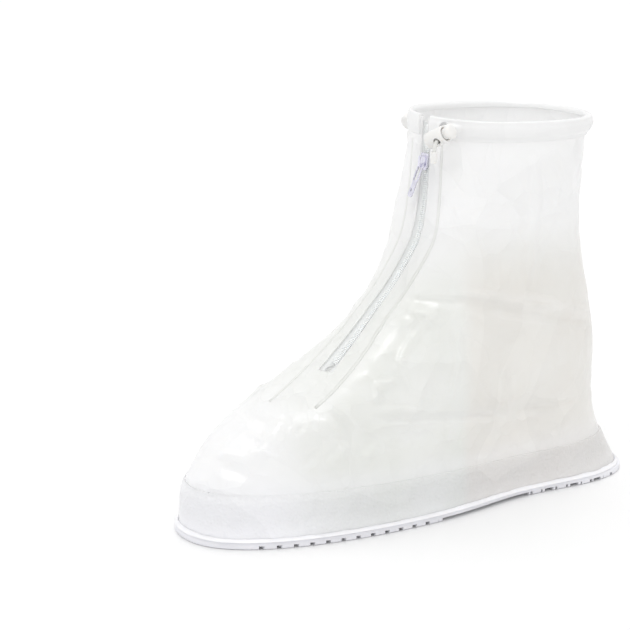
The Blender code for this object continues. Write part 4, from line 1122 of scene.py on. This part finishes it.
for which in ("near", "far"):
    place = toggle_place(which)
    barrel = turned("barrel_" + which, round_corners(
        ((0, 0), (TOGGLE_RADIUS, 0), (TOGGLE_RADIUS, TOGGLE_LENGTH), (BORE_RADIUS, TOGGLE_LENGTH),
         (BORE_RADIUS, BARREL_FLOOR), (0, BARREL_FLOOR)), BARREL_ROUND), TOGGLE_SIDES)
    subtract(barrel, round_bar("cord_hole", CORD_HOLE / 2, 3 * TOGGLE_RADIUS, CORD_HOLE_UP))
    barrel.data.transform(place)
    shade(barrel, 40)
    dress(barrel, "cover", "toggle_plastic", toggle_plastic, "toggle_barrel_" + which)

    button = turned("button_" + which, round_corners(
        ((0, STEM_END), (STEM_RADIUS, STEM_END), (STEM_RADIUS, BUTTON_SHOULDER),
         (BUTTON_RADIUS, BUTTON_SHOULDER),
         *((BUTTON_RADIUS * r, BUTTON_SHOULDER + h * BUTTON_DOME) for r, h in DOME_POINTS),
         (0, BUTTON_SHOULDER + BUTTON_DOME)), BUTTON_ROUND), TOGGLE_SIDES)
    slot = bmesh.new()
    slot_size = Matrix.Diagonal((4 * TOGGLE_RADIUS, CORD_SLOT, SLOT_HIGH - SLOT_LOW, 1.0))
    slot_middle = Matrix.Translation((0, 0, (SLOT_HIGH + SLOT_LOW) / 2))
    bmesh.ops.create_cube(slot, size=1.0, matrix=slot_middle @ slot_size)
    subtract(button, piece_from("cord_slot", slot))
    button.data.transform(place)
    shade(button, 40)
    dress(button, which + "_button", "toggle_plastic", toggle_plastic, "toggle_button_" + which)

    low = BARREL_FLOOR + 2 * SPRING_WIRE
    high = STEM_END - 2 * SPRING_WIRE
    turns = np.linspace(0, SPRING_TURNS, SPRING_STEPS * SPRING_TURNS + 1)
    radius = STEM_RADIUS - 3 * SPRING_WIRE
    helix = [place @ Vector((radius * cos(2 * pi * t), radius * sin(2 * pi * t),
                             low + (high - low) * t / SPRING_TURNS)) for t in turns]
    spring = tube("spring_" + which, helix, SPRING_WIRE, 10)
    dress(spring, "cover", "spring_steel", spring_wire, "toggle_spring_" + which)
    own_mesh(spring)

# Cord tips
# Each end of the cord is closed by a small moulded tip, pressed over the braid.
for which in ("near", "far"):
    tip = smooth_copy("tip_" + which, "cord_tip_" + which, 2, 50)
    dress(tip, "cover", "toggle_plastic", toggle_plastic, "cord_tip_" + which)

# Floor, light and camera
# A white sheet under a bright tent, with a soft key light from high on the front left and
# another from above and behind, as for a catalogue picture.
FLOOR_SIZE = 24.0
CAMERA_LOOKS_AT = Vector((-0.06496, 0.0, 0.12201))
CAMERA_AZIMUTH = radians(-30)
CAMERA_ELEVATION = radians(14.03)
CAMERA_DISTANCE = 1.2
CAMERA_LENS = 117.1
TENT_STRENGTH = 0.92
TENT_SEEN = 1.1
KEY_STRENGTH = 0.55
TOP_STRENGTH = 0.45
FLOOR_DROP = 0.2 * MM
SHEET_COLOUR = (0.865, 0.865, 0.865, 1)

floor_mesh = bpy.data.meshes.new("floor")
half = FLOOR_SIZE / 2
floor_mesh.from_pydata([(-half, -half, 0), (half, -half, 0), (half, half, 0), (-half, half, 0)],
                       [], [(0, 1, 2, 3)])
floor = link_piece("floor", floor_mesh)
floor.location.z = -FLOOR_DROP
white_sheet, _, sheet_shader = blank_material("white_sheet")
set_inputs(sheet_shader, {"Base Color": SHEET_COLOUR, "Roughness": 0.85})
floor.data.materials.append(white_sheet)
floor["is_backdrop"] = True

world = bpy.data.worlds.new("bright_tent")
bpy.context.scene.world = world
world.use_nodes = True
tent = world.node_tree.nodes["Background"]
set_inputs(tent, {"Color": (1, 1, 1, 1)})
tent_light = add_node(world.node_tree, "ShaderNodeMapRange", None,
                      {"To Min": TENT_STRENGTH, "To Max": TENT_SEEN})
tent_path = add_node(world.node_tree, "ShaderNodeLightPath")
wire(world.node_tree, (tent_path, "Is Camera Ray", tent_light, "Value"),
     (tent_light, "Result", tent, "Strength"))


def broad_light(name, place, angle, strength):
    """A soft light from far away, shining from that place towards the cover."""
    lamp = bpy.data.lights.new(name, "SUN")
    lamp.angle = angle
    lamp.energy = strength
    made = link_piece(name, lamp)
    made.location = place
    made.rotation_euler = (-Vector(place)).to_track_quat("-Z", "Y").to_euler()


broad_light("key_light", (-1.1, -1.0, 2.6), radians(18), KEY_STRENGTH)
broad_light("top_light", (0.5, 0.8, 2.6), radians(24), TOP_STRENGTH)

camera = bpy.data.cameras.new("camera")
camera.sensor_fit = "HORIZONTAL"
camera.sensor_width = 36
camera.lens = CAMERA_LENS
camera.clip_end = 100
eye = link_piece("camera", camera)
towards_eye = Vector((sin(CAMERA_AZIMUTH) * cos(CAMERA_ELEVATION),
                      -cos(CAMERA_AZIMUTH) * cos(CAMERA_ELEVATION), sin(CAMERA_ELEVATION)))
eye.location = CAMERA_LOOKS_AT + towards_eye * CAMERA_DISTANCE
eye.rotation_euler = (-towards_eye).to_track_quat("-Z", "Y").to_euler()
bpy.context.scene.camera = eye
bpy.context.scene.view_settings.view_transform = "Standard"

low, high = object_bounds()
